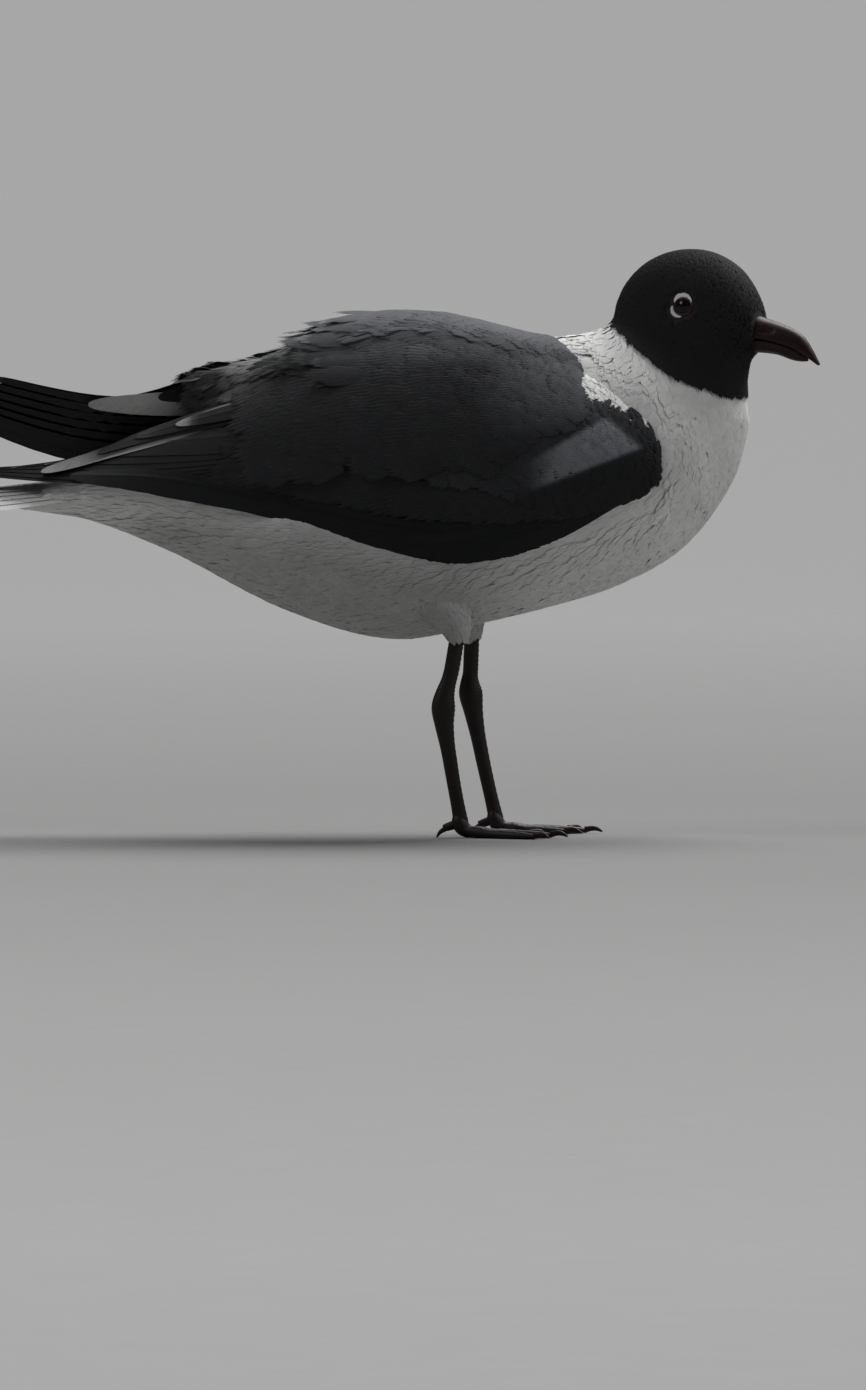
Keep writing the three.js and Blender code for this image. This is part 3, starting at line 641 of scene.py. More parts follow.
def barbs_group():
    """Fine barbs for any feather finish: streaks that run from the shaft outwards and towards the tip,
    read from the Vane map in centimetres. Tone is 1 + (streak - 0.5) x Strength, and Height is the streak
    with ribs of 0.15 x sin(190 x slant) on it, where slant = distance along - distance across."""
    group = bpy.data.node_groups.new("barbs", "ShaderNodeTree")
    for title, kind in (("Streak", "NodeSocketFloat"), ("Strength", "NodeSocketFloat")):
        group.interface.new_socket(title, in_out="INPUT", socket_type=kind)
    for title in ("Tone", "Height"):
        group.interface.new_socket(title, in_out="OUTPUT", socket_type="NodeSocketFloat")
    add, link = group.nodes.new, group.links.new

    def math(operation, *values):
        made = add("ShaderNodeMath")
        made.operation = operation
        for socket, value in zip(made.inputs, values):
            give(group, socket, value)
        return made.outputs[0]

    start, end = add("NodeGroupInput"), add("NodeGroupOutput")
    vane, parts = add("ShaderNodeUVMap"), add("ShaderNodeSeparateXYZ")
    vane.uv_map = "Vane"
    link(vane.outputs[0], parts.inputs[0])
    across = parts.outputs["X"]
    slant = math("SUBTRACT", parts.outputs["Y"], math("ABSOLUTE", across))
    lane = add("ShaderNodeCombineXYZ")
    link(slant, lane.inputs["X"])
    link(math("MULTIPLY", across, 0.12), lane.inputs["Y"])
    noise = add("ShaderNodeTexNoise")
    noise.inputs["Detail"].default_value = 3
    link(lane.outputs[0], noise.inputs["Vector"])
    link(start.outputs["Streak"], noise.inputs["Scale"])
    streak = noise.outputs["Fac"]
    tone = math("MULTIPLY_ADD", math("SUBTRACT", streak, 0.5), start.outputs["Strength"], 1)
    height = math("MULTIPLY_ADD", math("SINE", math("MULTIPLY", slant, 190)), 0.15, streak)
    link(tone, end.inputs["Tone"])
    link(height, end.inputs["Height"])
    return group


BARBS = barbs_group()
WHITE = (0.75, 0.75, 0.74, 1)
HOOD_BLACK = (0.014, 0.014, 0.015, 1)
SLATE = (0.05, 0.052, 0.057, 1)
LONG_SLATE = (0.018, 0.0195, 0.022, 1)
TIP_BLACK = (0.008, 0.008, 0.009, 1)


def feather_finish(name, colour, roughness, sheen, streak=18.0, strength=0.9, bump=0.35, gloss=0.25):
    """Feathers: their own colour, going to white where pale, toned by each feather, by painted light and
    shade where it is laid on, and by its barbs.
    """
    finish = Finish(name, Roughness=roughness, Sheen_Weight=sheen, Sheen_Roughness=0.4)
    finish.shader.inputs["Specular IOR Level"].default_value = gloss
    barbs = finish.node("ShaderNodeGroup", {"node_tree": BARBS}, Streak=streak, Strength=strength)
    drift = finish.node("ShaderNodeTexNoise", Vector=finish.place(), Scale=60.0, Detail=2.0)
    ranged = finish.node("ShaderNodeMapRange", To_Min=0.9, To_Max=1.1, Value=drift.outputs["Fac"])
    # The shade attribute holds each feather's tone times the painted light and shade laid by place.
    toned = finish.math("MULTIPLY", barbs.outputs["Tone"], finish.attribute("shade"))
    toned = finish.math("MULTIPLY", toned, ranged.outputs[0])
    base = finish.mix(finish.attribute("pale"), colour, WHITE)
    finish.feed("Base Color", finish.mix(1.0, base, finish.grey(toned), "MULTIPLY"))
    finish.roughen(bump, 0.0004, barbs.outputs["Height"])
    return finish.material


WHITE_FEATHERS = feather_finish("white feathers", WHITE, 0.9, 0.15, strength=0.12, bump=0.15)
HOOD_FEATHERS = feather_finish("black hood feathers", HOOD_BLACK, 0.75, 0.02, strength=0.5, gloss=0.15)
SLATE_FEATHERS = feather_finish("slate feathers", SLATE, 0.75, 0.18, gloss=0.16)
LONG_SLATE_FEATHERS = feather_finish("slate flight feathers", LONG_SLATE, 0.65, 0.04, gloss=0.16)
BLACK_FEATHERS = feather_finish("black flight feathers", TIP_BLACK, 0.6, 0.0)


def skin_finish():
    """The skin under the coat, in the colour of the feathers over it."""
    finish = Finish("skin under feathers", Roughness=0.9)
    down = finish.node("ShaderNodeTexNoise", Vector=finish.place(), Scale=900.0, Detail=3.0)
    colour = finish.node("ShaderNodeAttribute", {"attribute_name": "plumage"}).outputs["Color"]
    tone = finish.node("ShaderNodeMapRange", To_Min=0.8, To_Max=1.1, Value=down.outputs["Fac"])
    finish.feed("Base Color", finish.mix(1.0, colour, finish.grey(tone.outputs[0]), "MULTIPLY"))
    finish.roughen(0.4, 0.0004, down.outputs["Fac"])
    return finish.material


def horn_finish():
    """Bill and claws: dark horn with a deep red cast and fine lengthwise lines."""
    finish = Finish("dark horn", Roughness=0.42, Coat_Weight=0.05, Coat_Roughness=0.25)
    finish.shader.inputs["Specular IOR Level"].default_value = 0.22
    stretched = finish.node("ShaderNodeMapping", Vector=finish.place(), Scale=(250, 700, 900))
    lines = finish.node("ShaderNodeTexNoise", Vector=stretched.outputs[0], Scale=1.0, Detail=4.0)
    ramp = finish.node("ShaderNodeMapRange", Value=lines.outputs["Fac"])
    deep, red = (0.009, 0.0035, 0.0035, 1), (0.026, 0.0075, 0.007, 1)
    finish.feed("Base Color", finish.mix(ramp.outputs[0], deep, red))
    finish.roughen(0.25, 0.0003, lines.outputs["Fac"])
    return finish.material


def leg_finish():
    """Leg and web skin: dark, leathery and finely pebbled."""
    finish = Finish("dark leg skin", Roughness=0.5)
    finish.shader.inputs["Specular IOR Level"].default_value = 0.3
    place = finish.place()
    pebbles = finish.node("ShaderNodeTexVoronoi", Vector=place, Scale=1400.0)
    soil = finish.node("ShaderNodeTexNoise", Vector=place, Scale=180.0, Detail=4.0)
    deep, worn = (0.007, 0.0045, 0.0045, 1), (0.02, 0.01, 0.009, 1)
    finish.feed("Base Color", finish.mix(soil.outputs["Fac"], deep, worn))
    finish.roughen(0.35, 0.0002, pebbles.outputs["Distance"])
    return finish.material


def eye_finish():
    """A dark brown iris round a black pupil, under a clear wet front."""
    finish = Finish("dark wet eye", Roughness=0.25, Coat_Weight=0.35, Coat_Roughness=0.02)
    finish.shader.inputs["Specular IOR Level"].default_value = 0.1
    pupil, iris = (0.002, 0.002, 0.002, 1), (0.008, 0.004, 0.0025, 1)
    finish.feed("Base Color", finish.mix(finish.attribute("iris"), pupil, iris))
    return finish.material


HORN = horn_finish()
LEG_SKIN = leg_finish()
EYE = eye_finish()
LID = Finish("bare eyelid", Base_Color=(0.03, 0.008, 0.007, 1), Roughness=0.45).material


# ---- where each colour lies ----------------------------------------------------------------------
def hood_station(angles):
    """The station of the hood's lower edge at angles round from the nape, the same on both sides."""
    round_from_nape = np.abs((angles + np.pi) % (2 * np.pi) - np.pi)
    return np.interp(round_from_nape, HOOD_EDGE_ANGLE, HOOD_EDGE_STATION)


def inside_hood(a, b):
    """How many stations a place on the body lies inside the hood's edge, negative outside it."""
    return a / BODY_ROWS - hood_station(b / BODY_COLUMNS * 2 * np.pi)


def neck_line(x):
    """The height below which the wing's front is slate, and above which the neck's white lies over it."""
    return np.interp(x, [80, 88, 95, 98, 103, 117, 121, 125], [193, 185, 180, 173.5, 168.5, 165, 161, 156])


def wing_edges(side, x):
    """The heights of a folded wing's low and high edges, as far up as it shows."""
    keys = WINGS[side][::-1]
    low, high = (np.interp(x, keys[:, 0], keys[:, column]) for column in (2, 4))
    return low, np.minimum(high, neck_line(x))


def wing_cover(points):
    """How far a place on the body lies inside a folded wing's outline seen from the side, in mm,
    negative outside it, for whichever wing is nearer."""
    x, y, z = points[..., 0], points[..., 1], points[..., 2]
    cover = np.full(x.shape, -99.0)
    for side, hand in HANDS.items():
        low, high = wing_edges(side, x)
        inside = np.minimum(np.minimum(WRIST_X - x, x - WING_REAR_X), np.minimum(z - low, high - z))
        cover = np.where(y * hand > 5, np.maximum(cover, inside), cover)
    return cover


def under_wing(points, margin):
    """Places on the body that a folded wing hides, at least a margin inside its outline; the rump
    between the two wings shows."""
    x, y = points[..., 0], points[..., 1]
    between = (x < -14) & (np.abs(y) < np.interp(x, [-100, -70, -14], [6, 13, 24]))
    return (wing_cover(points) > margin) & ~between


SWELLING = 4.2


def plump(sheet):
    """The sheet swollen to meet the wings' edges: by SWELLING times a smooth step up to an edge from
    outside it and down again inside it, less over the shoulder, none at the rear."""
    x, z = sheet.points[..., 0], sheet.points[..., 2]
    cover = wing_cover(sheet.points)
    swell = SWELLING * smooth_step(-20, -3, cover) * smooth_step(11, 1, cover) * smooth_step(-55, -15, x)
    swell = swell * (0.45 + 0.55 * smooth_step(165, 145, z))
    return Sheet(sheet.points + unit(sheet.out) * swell[..., None], sheet.closed, np.array([40, 0, 150]))


def on_mantle(points):
    """Places on the back that the slate mantle covers, above the wings and behind the white nape."""
    x, z = points[..., 0], points[..., 2]
    high = np.maximum(wing_edges("right", x)[1], wing_edges("left", x)[1])
    return (x > -34) & (x < mantle_front(z) - 5) & (z > high - 6)


body = body_sheet()
full_body = plump(body)


def white_painted_shade(points):
    """Painted shade on the white coat by place: 1 on the neck, breast and tail, down to 0.63 under the belly.
    """
    x, z = points[..., 0], points[..., 2]
    return 1 - 0.37 * smooth_step(136, 117, z) * smooth_step(85, 35, x) * smooth_step(-100, -70, x)


def slate_painted_light(points):
    """Painted light and shade on the slate feathers by place: lit to 1.8 along the back and 1.45 over the
    front of the mantle, and shaded to 0.38 down the sides and to the rear."""
    x, z = points[..., 0], points[..., 2]
    top = smooth_step(180, 200, z)
    front = smooth_step(45, 78, x) * smooth_step(150, 176, z)
    return 0.38 + 1.42 * np.maximum(top, 0.75 * front)


# ---- skin ----------------------------------------------------------------------------------------
def ring_tube(rings):
    """A closed tube mesh (points, faces) from rings of points, faces outwards."""
    points = with_end_points(rings)
    faces = tube_faces(*rings.shape[:2])
    a, b, c = (points[faces[:, k]] for k in range(3))
    volume = (np.cross(a, b) * c).sum()
    return points, faces if volume > 0 else faces[:, ::-1]


def join(tubes):
    """Tubes as one list of points and faces, with nothing below the floor."""
    points, faces, count = [], [], 0
    for tube_points, tube in tubes:
        points.append(tube_points)
        faces.append(tube + count)
        count += len(tube_points)
    points = np.concatenate(points)
    points[:, 2] = np.maximum(points[:, 2], 0)
    return points, np.concatenate(faces)


def path_tube(path, radii, sides, flatness=1.0, steps=60, press=None):
    """Rings square to a smooth path, their half width across being flatness x the radius. press gives
    a factor for the radius at each share of the path and angle."""
    path, places = np.asarray(path, float), np.linspace(0, len(path) - 1, steps)
    middle = along(path, places)
    ahead = unit(np.gradient(middle, axis=0))
    side = unit(np.array([0, 1, 0]) - dot(ahead, np.array([0, 1, 0])) * ahead)
    other = np.cross(ahead, side)
    radius = along(radii, np.linspace(0, len(radii) - 1, steps))
    angles = np.linspace(0, 2 * np.pi, sides, endpoint=False)
    radius = radius * (1 if press is None else press(np.linspace(0, 1, steps)[:, None], angles[None]))
    return (middle[:, None] + side[:, None] * (radius * flatness * np.cos(angles))[..., None]
            + other[:, None] * (radius * np.sin(angles))[..., None])


def handed(point, hand):
    """A joint's place on the right (-1) or left (+1) side."""
    return (point[0], hand * point[1], point[2])


def thigh_rings(side, sink):
    """A cone from the knee to the cuff, drawn in by so many mm."""
    leg, hand = LEGS[side], HANDS[side]
    above = (leg["cuff"][0] - 2.5, leg["cuff"][1], leg["cuff"][2] + 8)
    path = [handed(p, hand) for p in (leg["knee"], above, leg["cuff"])]
    return path_tube(path, [13 - sink, 8 - sink, 4.6 - sink], 32, 0.9, 24)


def skin_solids():
    """The body, thighs and the fleshy front of both wings as closed tubes that run into one another."""
    yield ring_tube(body.points)
    for side, hand in HANDS.items():
        yield ring_tube(thigh_rings(side, 1.6))
        stations = np.linspace(0.2, 9, 71)[:, None]
        shares = np.linspace(0.03, 0.97, 33)[None]
        outer = wing_surface(WINGS[side], stations + 0 * shares, shares + 0 * stations, hand, 2.6)
        inner = wing_surface(WINGS[side], stations + 0 * shares, shares + 0 * stations, hand, 0.5, True)
        yield ring_tube(np.concatenate([outer, inner[:, ::-1]], 1))


def make_skin():
    """One skin without seams: the tubes joined, remade as one surface and given the coat's colours."""
    points, faces = join(skin_solids())
    flesh = ["rump", "belly", "breast", "neck", "mantle", "head", "thigh_right", "thigh_left"]
    skin = mesh_piece("skin", points, faces, skin_finish(), "white_body", flesh)
    remesh = skin.modifiers.new("one surface", "REMESH")
    remesh.mode, remesh.voxel_size, remesh.use_smooth_shade = "VOXEL", 1.6 * MM, True
    smooth = skin.modifiers.new("even", "SMOOTH")
    smooth.factor, smooth.iterations = 0.5, 4
    bpy.context.view_layer.update()
    made = bpy.data.meshes.new_from_object(skin.evaluated_get(bpy.context.evaluated_depsgraph_get()))
    skin.modifiers.clear()
    skin.data = made
    colour_skin(made)
    return skin


SKIN_WHITE = (0.72, 0.72, 0.71, 1)
SKIN_SLATE = (0.04, 0.04, 0.043, 1)
SKIN_BLACK = (0.015, 0.015, 0.016, 1)


def colour_skin(mesh):
    """Black within the hood, slate on the mantle and wings, white elsewhere, with painted shade under the
    belly. Whether a point is within the hood is read from the nearest of every second place on the body's
    sheet."""
    count = len(mesh.vertices)
    points = np.empty(count * 3)
    mesh.vertices.foreach_get("co", points)
    points = points.reshape(-1, 3) / MM
    colours = np.tile(SKIN_WHITE, (count, 1))
    # The same painted shade under the belly as on the white coat.
    colours[:, :3] *= white_painted_shade(points)[:, None]
    slate = on_mantle(points) | (under_wing(points, SLATE_UNDER_WING) & (np.abs(points[:, 1]) > 30))
    colours[slate] = SKIN_SLATE
    a, b = np.indices(body.points.shape[:2])
    ahead = (slice(12 * BODY_ROWS, None, 2), slice(None, None, 2))
    known = body.points[ahead].reshape(-1, 3)
    dark = (inside_hood(a, b)[ahead] > BLACK_SKIN_FROM).ravel()
    for part in np.array_split(np.nonzero(points[:, 2] > 160)[0], 60):
        nearest = ((points[part][:, None] - known[None]) ** 2).sum(-1).argmin(1)
        colours[part[dark[nearest]]] = SKIN_BLACK
    mesh.attributes.new("plumage", "FLOAT_COLOR", "POINT").data.foreach_set("color", colours.ravel())


# ---- the soft coat of the body -------------------------------------------------------------------
EYE_CENTRES = {
    side: turn_with_head(HEAD_PIVOT_X + EYE_FORWARD, np.array(hand * EYE_SIDE), EYE_UP, HEAD_TURN)
    for side, hand in HANDS.items()
}


def clear_of_eyes(points, radius):
    """True for points further than the radius from both eyes."""
    return np.all([np.linalg.norm(points - centre, axis=-1) > radius for centre in EYE_CENTRES.values()], 0)


def part_round_eyes(points, heading):
    """The heading turned away from an eye near it, so that the feathers of the face part round it."""
    for centre in EYE_CENTRES.values():
        away = points - centre
        near = smooth_step(13, 4.5, np.linalg.norm(away, axis=-1))[:, None]
        heading = heading + 1.5 * near * unit(away)
    return unit(heading)


def soft_coat(name, first, last, spacing, length, width, barbs, black, slot):
    """Tufts over the body between two stations, lying back from bill to tail, tips at the outline. They
    are smaller on the head and short at the tail's root, and lie low at a wing's or the hood's edge."""
    sheet = body if black else full_body

    def keep(points, a, b):
        stations, depth_in_hood = a / BODY_ROWS, inside_hood(a, b)
        within = (stations >= first) & (stations < last) & clear_of_eyes(points, EYE_ROOTS)
        white = (depth_in_hood < WHITE_TO) & ~on_mantle(points)
        within &= (depth_in_hood > BLACK_FROM) if black else white
        return within & ~under_wing(points, COAT_UNDER_WING)

    a, b = scatter(sheet, spacing, keep)
    station = a / BODY_ROWS
    size = np.interp(station, [0, 3, 11, 14.5, 17.5, 20, 22], [1, 1, 1, 1, 0.8, 0.6, 0.45])
    reach = length * size * chance.uniform(0.85, 1.15, len(a)) * (0.5 + 0.5 * smooth_step(0.9, 2.4, station))
    points = sheet.read(sheet.points, a, b)
    heading = unit(-sheet.read(sheet.down, a, b))
    if black:
        heading = part_round_eyes(points, heading)
    heading = spread_heading(sheet, a, b, heading, 8)
    path = walk(sheet, a, b, heading, reach, 4)
    free = clear_of_eyes(path[0], EYE_PATHS).all(1)
    for side in HANDS:
        free &= ~within_arcs(side, path[0]).any(1)
    path, reach, size = [part[free] for part in path], reach[free], size[free]
    root_a, root_b = path[3][:, 0], path[4][:, 0]
    depth = along(BODY, path[3][:, 2] / BODY_ROWS)[..., 7]
    if black:
        depth = np.minimum(depth, 1.4) * 1.1
    else:
        depth = depth * (1 - 0.6 * smooth_step(-14, 0, wing_cover(path[0][:, 4])))
        depth = depth * (0.4 + 0.6 * smooth_step(0, -0.6, inside_hood(root_a, root_b)))
    lift = (-0.3, depth * chance.uniform(0.96, 1.03, len(depth)), -2.6, 0.22)
    spread = width * size * chance.uniform(0.85, 1.15, len(depth))
    shade = chance.normal(1, 0.035, len(depth)).clip(0.88, 1.1)
    coat = Plumage()
    # White tufts carry painted shade under the belly.
    coat.add(sheet, path, tuft_shape(barbs), spread, 0.16, lift, shade, tone=None if black else white_painted_shade)
    return coat.make(name, HOOD_FEATHERS if black else WHITE_FEATHERS, slot)


def dress_thigh(side):
    """Short white feathers down the thigh, ending in a loose cuff at the bare shin."""
    rings = thigh_rings(side, 1.2)
    sheet = Sheet(rings, True, rings.mean((0, 1)))
    a, b = scatter(sheet, 1.9, lambda points, a, b: (points[..., 2] < 96) & (a < len(rings) - 2))
    heading = spread_heading(sheet, a, b, np.tile([0.02, 0, -1.0], (len(a), 1)), 8)
    share = a / len(rings)
    path = walk(sheet, a, b, heading, (7.5 - 3 * share) * chance.uniform(0.85, 1.15, len(a)), 4)
    lift = (-0.3, (1.6 - 0.8 * share) * chance.uniform(0.8, 1.1, len(a)), 0.6)
    shade = chance.normal(1, 0.04, len(a)).clip(0.88, 1.1)
    coat = Plumage()
    width = (3.4 - 1.2 * share) * np.ones(len(a))
    # The painted shade under the belly reaches down the thighs too.
    coat.add(sheet, path, tuft_shape(5), width, 0.2, lift, shade, tone=white_painted_shade)
    coat.make(f"coat_thigh_{side}", WHITE_FEATHERS, "white_body")


def dress_body():
    """The coat in bands from the vent to the face: first and last station, spacing, length and width
    of the tufts, barbs to a tuft, and whether the band is black."""
    soft_coat("coat_vent", 0.9, 4.5, 3.0, 14, 5, 5, False, "white_plumage")
    soft_coat("coat_belly", 4.5, 7.2, 2.8, 13, 4.8, 5, False, "white_body")
    soft_coat("coat_flanks", 7.2, 9.8, 2.8, 13, 4.8, 5, False, "white_body")
    soft_coat("coat_breast", 9.8, 11.6, 2.55, 11.5, 4.5, 5, False, "white_body")
    soft_coat("coat_neck", 11.6, 15.5, 1.95, 8.5, 3.3, 5, False, "white_body")
    soft_coat("coat_hood_nape", 12.8, 17, 1.45, 5.2, 2.4, 3, True, "black_hood")
    soft_coat("coat_hood_face", 17, 21.95, 1.25, 5.0, 2.2, 3, True, "black_hood")
    for side in HANDS:
        dress_thigh(side)


# ---- wings ---------------------------------------------------------------------------------------
SMALL = tuft_shape(7, 0.7, 0.3)
COVERT = tuft_shape(9, 0.7, 0.34)
LOOSE = tuft_shape(11, 0.6, 0.3)
PRIMARY = flight_shape(22, tip=1.6, widest=0.3, shaft=-0.3)
SECONDARY = flight_shape(18, tip=2.6, widest=0.5, shaft=-0.25)
TERTIAL = flight_shape(20, tip=2.2, widest=0.5, shaft=0.1)
RECTRIX = flight_shape(18, tip=4.0, neck=0.5, widest=0.6, shaft=-0.1)


def pale_tip(shape, start, strength, number):
    """White at the tip: nothing before the start share, full at the end."""
    return np.tile(strength * smooth_step(start, start + 0.08, shape[0][:, 0]), (number, 1))


def pale_edge(shape, hand, reach, strength, number):
    """White along one edge (hand +1 or -1) from a share of the length on, and round the tip."""
    s, t = shape[0][:, 0], shape[0][:, 1]
    edge = smooth_step(0.6, 0.85, hand * t) * smooth_step(reach, reach + 0.4, s)
    return np.tile(strength * np.maximum(edge, smooth_step(0.9, 0.97, s)), (number, 1))


def painted_highlight_top(x):
    """The height of the upper edge of the painted highlight over the wing's bend, behind its peak."""
    return 154.4 + 0.557 * (x - 83)


def wing_painted_light(points):
    """Tone of the small wing feathers by place, all painted light and shade: a painted highlight in a wedge
    over the bend of the wing, widest in front, painted shade darkest round it along the wing's front edge and
    low edge, and lighter towards the top and front as painted top light."""
    x, z = points[..., 0], points[..., 2]
    # The wedge is a painted highlight, the dark band round it painted shade, and plain a painted top light.
    low = z - (146.6 + 0.38 * (x - 98.7))
    high = np.minimum(painted_highlight_top(x), 164.2 - 0.854 * (x - 100.6)) - z
    patch = smooth_step(-1.2, 1.2, low) * smooth_step(-1.2, 1.8, high) * smooth_step(68, 86, x)
    dark = smooth_step(1, -3, low) * smooth_step(40, 80, x)
    dark = dark + smooth_step(0, -4, high) * smooth_step(98, 108, x)
    plain = 0.55 + 0.45 * smooth_step(150, 185, z) * smooth_step(50, 90, x)
    return plain + 3 * patch - 0.2 * np.clip(dark, 0, 1)


def lesser_coverts(sheet, plumage):
    """Small feathers over the front and upper part of the wing, smallest at the wrist."""
    # Each band: where it starts and ends in x, then spacing, length and width.
    bands = ((100, 130, 2.7, 7.5, 5), (70, 100, 3.5, 10, 7), (-30, 70, 4.8, 14, 9))
    for first, last, spacing, length, width in bands:
        def keep(points, a, b):
            x, share = points[..., 0], b / WING_COLUMNS
            low = np.interp(x, [-30, 60, 80, 96, 112], [0.5, 0.36, 0.22, 0.09, 0.1])
            covered = (x > -30) & (share < 1.02) & (share > low) & (points[..., 2] < neck_line(x) - 1)
            return covered & (x >= first) & (x < last)

        a, b = scatter(sheet, spacing, keep)
        place = sheet.read(sheet.points, a, b)
        heading = spread_heading(sheet, a, b, np.tile([-1.0, 0, -0.16], (len(a), 1)), 6)
        reach = length * chance.uniform(0.9, 1.1, len(a))
        path = walk(sheet, a, b, heading, reach, 5)
        shade = chance.normal(1, 0.06, len(a))
        wide = width * chance.uniform(0.9, 1.1, len(a))
        edge = np.minimum(WRIST_X - place[:, 0], neck_line(place[:, 0]) - place[:, 2])
        sunk = -0.4 - 2.0 * smooth_step(8, 1, edge)
        lift = (sunk, chance.uniform(0.5, 0.8, len(a)), -2.2)
        # The painted highlight over the wing's bend and the painted shade along its edges go into each
        # point's tone.
        plumage.add(sheet, path, SMALL, wide, 0.25, lift, shade, camber=0.04, tone=wing_painted_light)


def shoulder_down(side, sheet):
    """White feathers of the neck's side that lie over the top of the wing's front."""
    def keep(points, a, b):
        x, z = points[..., 0], points[..., 2]
        return (x > 78) & (z > neck_line(x) - 2) & (x > mantle_front(z) - 1.5) & (b / WING_COLUMNS < 1.02)

    a, b = scatter(sheet, 2.1, keep)
    heading = spread_heading(sheet, a, b, np.tile([-1.0, 0, -0.3], (len(a), 1)), 8)
    path = walk(sheet, a, b, heading, 7.5 * chance.uniform(0.85, 1.15, len(a)), 4)
    lift = (-2.0, chance.uniform(0.1, 0.5, len(a)), -2.4, 0.2)
    down = Plumage()
    down.add(sheet, path, tuft_shape(5), 3.4 * np.ones(len(a)), 0.16, lift, chance.normal(1, 0.035, len(a)))
    down.make(f"shoulder_down_{side}", WHITE_FEATHERS, "white_body")


def covert_row(plumage, sheet, number, places, shares, length, width, dip, raise_tip):
    """A row of coverts, roots between two places in x and two shares of the wing's height, tips
    backwards and down by the dip to each step back."""
    x = np.linspace(*places, number)
    share = np.linspace(*shares, number)
    a = sheet.row_at(x)
    b = share * WING_COLUMNS
    heading = spread_heading(sheet, a, b, np.stack([-np.ones(number), 0 * x, -dip + 0 * x], -1), 1.5)
    reach = length * chance.uniform(0.96, 1.04, number)
    path = walk(sheet, a, b, heading, reach, 8)
    lift = (raise_tip - 1.0, raise_tip + chance.uniform(0, 0.25, number), 0.6)
    shade = chance.normal(1, 0.04, number)
    # Painted light along the back and painted shade down the sides.
    plumage.add(sheet, path, COVERT, width * np.ones(number), 0.28, lift, shade, camber=0.05, tone=slate_painted_light)


def route_share(side, stations):
    """A route in (x, up) through places given as (x, share of the wing's height)."""
    keys = WINGS[side][::-1]
    out = []
    for x, share in stations:
        low, high = (np.interp(x, keys[:, 0], keys[:, column]) for column in (2, 4))
        out.append((x, low + (high - low) * share))
    return out


def secondaries(side, plumage, sheet):
    """Long feathers along the wing's lower edge, each a step further back."""
    number = 13
    for k in range(number):
        root, tip = 104 - 11.2 * k, 34 - 11.8 * k
        low_line = np.interp(tip, [-108, -80, -40, -10, 30], [0.34, 0.17, 0.1, 0.03, -0.02])
        middle = ((root + tip) / 2, 0.5 * (0.1 + low_line))
        path = lay(sheet, [route_share(side, [(root, 0.13), middle, (tip, low_line)])], 14)
        low = 0.1 - 0.12 * (number - k)
        lift = (low, low + 0.4, 1)
        wide = np.array([13.5 - 0.36 * k])
        plumage.add(sheet, path, SECONDARY, wide, 0.35, lift, chance.normal(0.6, 0.04), camber=0.12)


def tertials(side, plumage, sheet):
    """Four inner feathers that close over the wing: the lowest with a white lower edge and a broad
    worn tip, the uppermost with a white upper edge."""
    routes = [
        [(2, 0.74), (-30, 0.84), (-54, 0.86), (-80, 0.84), (-102, 0.8), (-119, 0.5)],
        [(6, 0.78), (-30, 0.83), (-56, 0.86), (-80, 0.87), (-97, 0.84)],
        [(10, 0.8), (-25, 0.85), (-55, 0.87), (-82, 0.87)],
        [(14, 0.84), (-20, 0.85), (-45, 0.86), (-66, 0.86)],
    ]
    wide = [12.5, 11.0, 10.5, 10.0]
    white = [0.7, 0.0, 0.05, 0.7]
    lower = -HANDS[side]
    for k, stations in enumerate(routes):
        path = lay(sheet, [route_share(side, stations)], 18)
        pale = pale_edge(TERTIAL, lower if k == 0 else -lower, 0.35, white[k], 1)
        if k == 0:
            pale = np.maximum(pale, 0.5 * smooth_step(0.78, 0.9, TERTIAL[0][:, 0]))
        low = 0.2 + 0.4 * k
        lift = (low - 0.6, low + 0.4, 1)
        plumage.add(sheet, path, TERTIAL, np.array([wide[k]]), 0.35, lift, 0.5, pale, 0.1)


def primaries(side, plumage, sheet):
    """The wing tip: six long feathers in a narrow fan, the outermost longest and lowest in the pile."""
    right = side == "right"
    tips = [-118, -131, -143, -155, -165, -175] if right else [-139, -151, -162, -171, -178.5, -184]
    for k, tip in enumerate(tips):
        if right:
            stations = [(-24, 0.6 - 0.03 * k), (-80 - 4 * k, 0.74 - 0.07 * k), (tip, 0.9 - 0.07 * k)]
            wide = 11.5 - 0.8 * k
        else:
            stations = [(-24, 0.6 - 0.05 * k), (-104 - k, 0.88 - 0.137 * k), (tip, 0.97 - 0.075 * k)]
            wide = 13.5 - 0.4 * k
        path = lay(sheet, [route_share(side, stations)], 20)
        pale = pale_tip(PRIMARY, 0.965, 0.7 if k < 5 else 0.2, 1)
        low = -0.2 - 0.3 * k
        plumage.add(sheet, path, PRIMARY, np.array([wide]), 0.28, (low, low + 0.1, 1), 1.0, pale, 0.04)


def far_wing_inside(plumage):
    """The raised left wing seen from the back: long feathers over its inner side, the longest worn
    pale over its hinder half, then two dark ones."""
    sheet = inner_half("left")
    # Each feather: root and tip in x, its middle and end as shares of the wing's height, width, where
    # its white starts as a share of its length, and how white it is.
    feathers = (
        (-14, -101, 0.75, 0.87, 11.5, 0.5, 0.7),
        (-10, -74, 0.86, 0.9, 11.0, 0.95, 0.0),
        (-6, -64, 0.86, 0.84, 10.0, 0.95, 0.0),
    )
    for k, (root, tip, middle, end, wide, start, white) in enumerate(feathers):
        route = [route_share("left", [(root, 0.86), ((root + tip) * 0.5, middle), (tip, end)])]
        path = lay(sheet, route, 14)
        pale = np.tile(white * smooth_step(start, start + 0.15, TERTIAL[0][:, 0]), (1, 1))
        low = 0.3 + 0.35 * k
        lift = (low - 0.4, low + 0.4, 1)
        plumage.add(sheet, path, TERTIAL, np.array([wide]), 0.35, lift, 0.8, pale, 0.1)


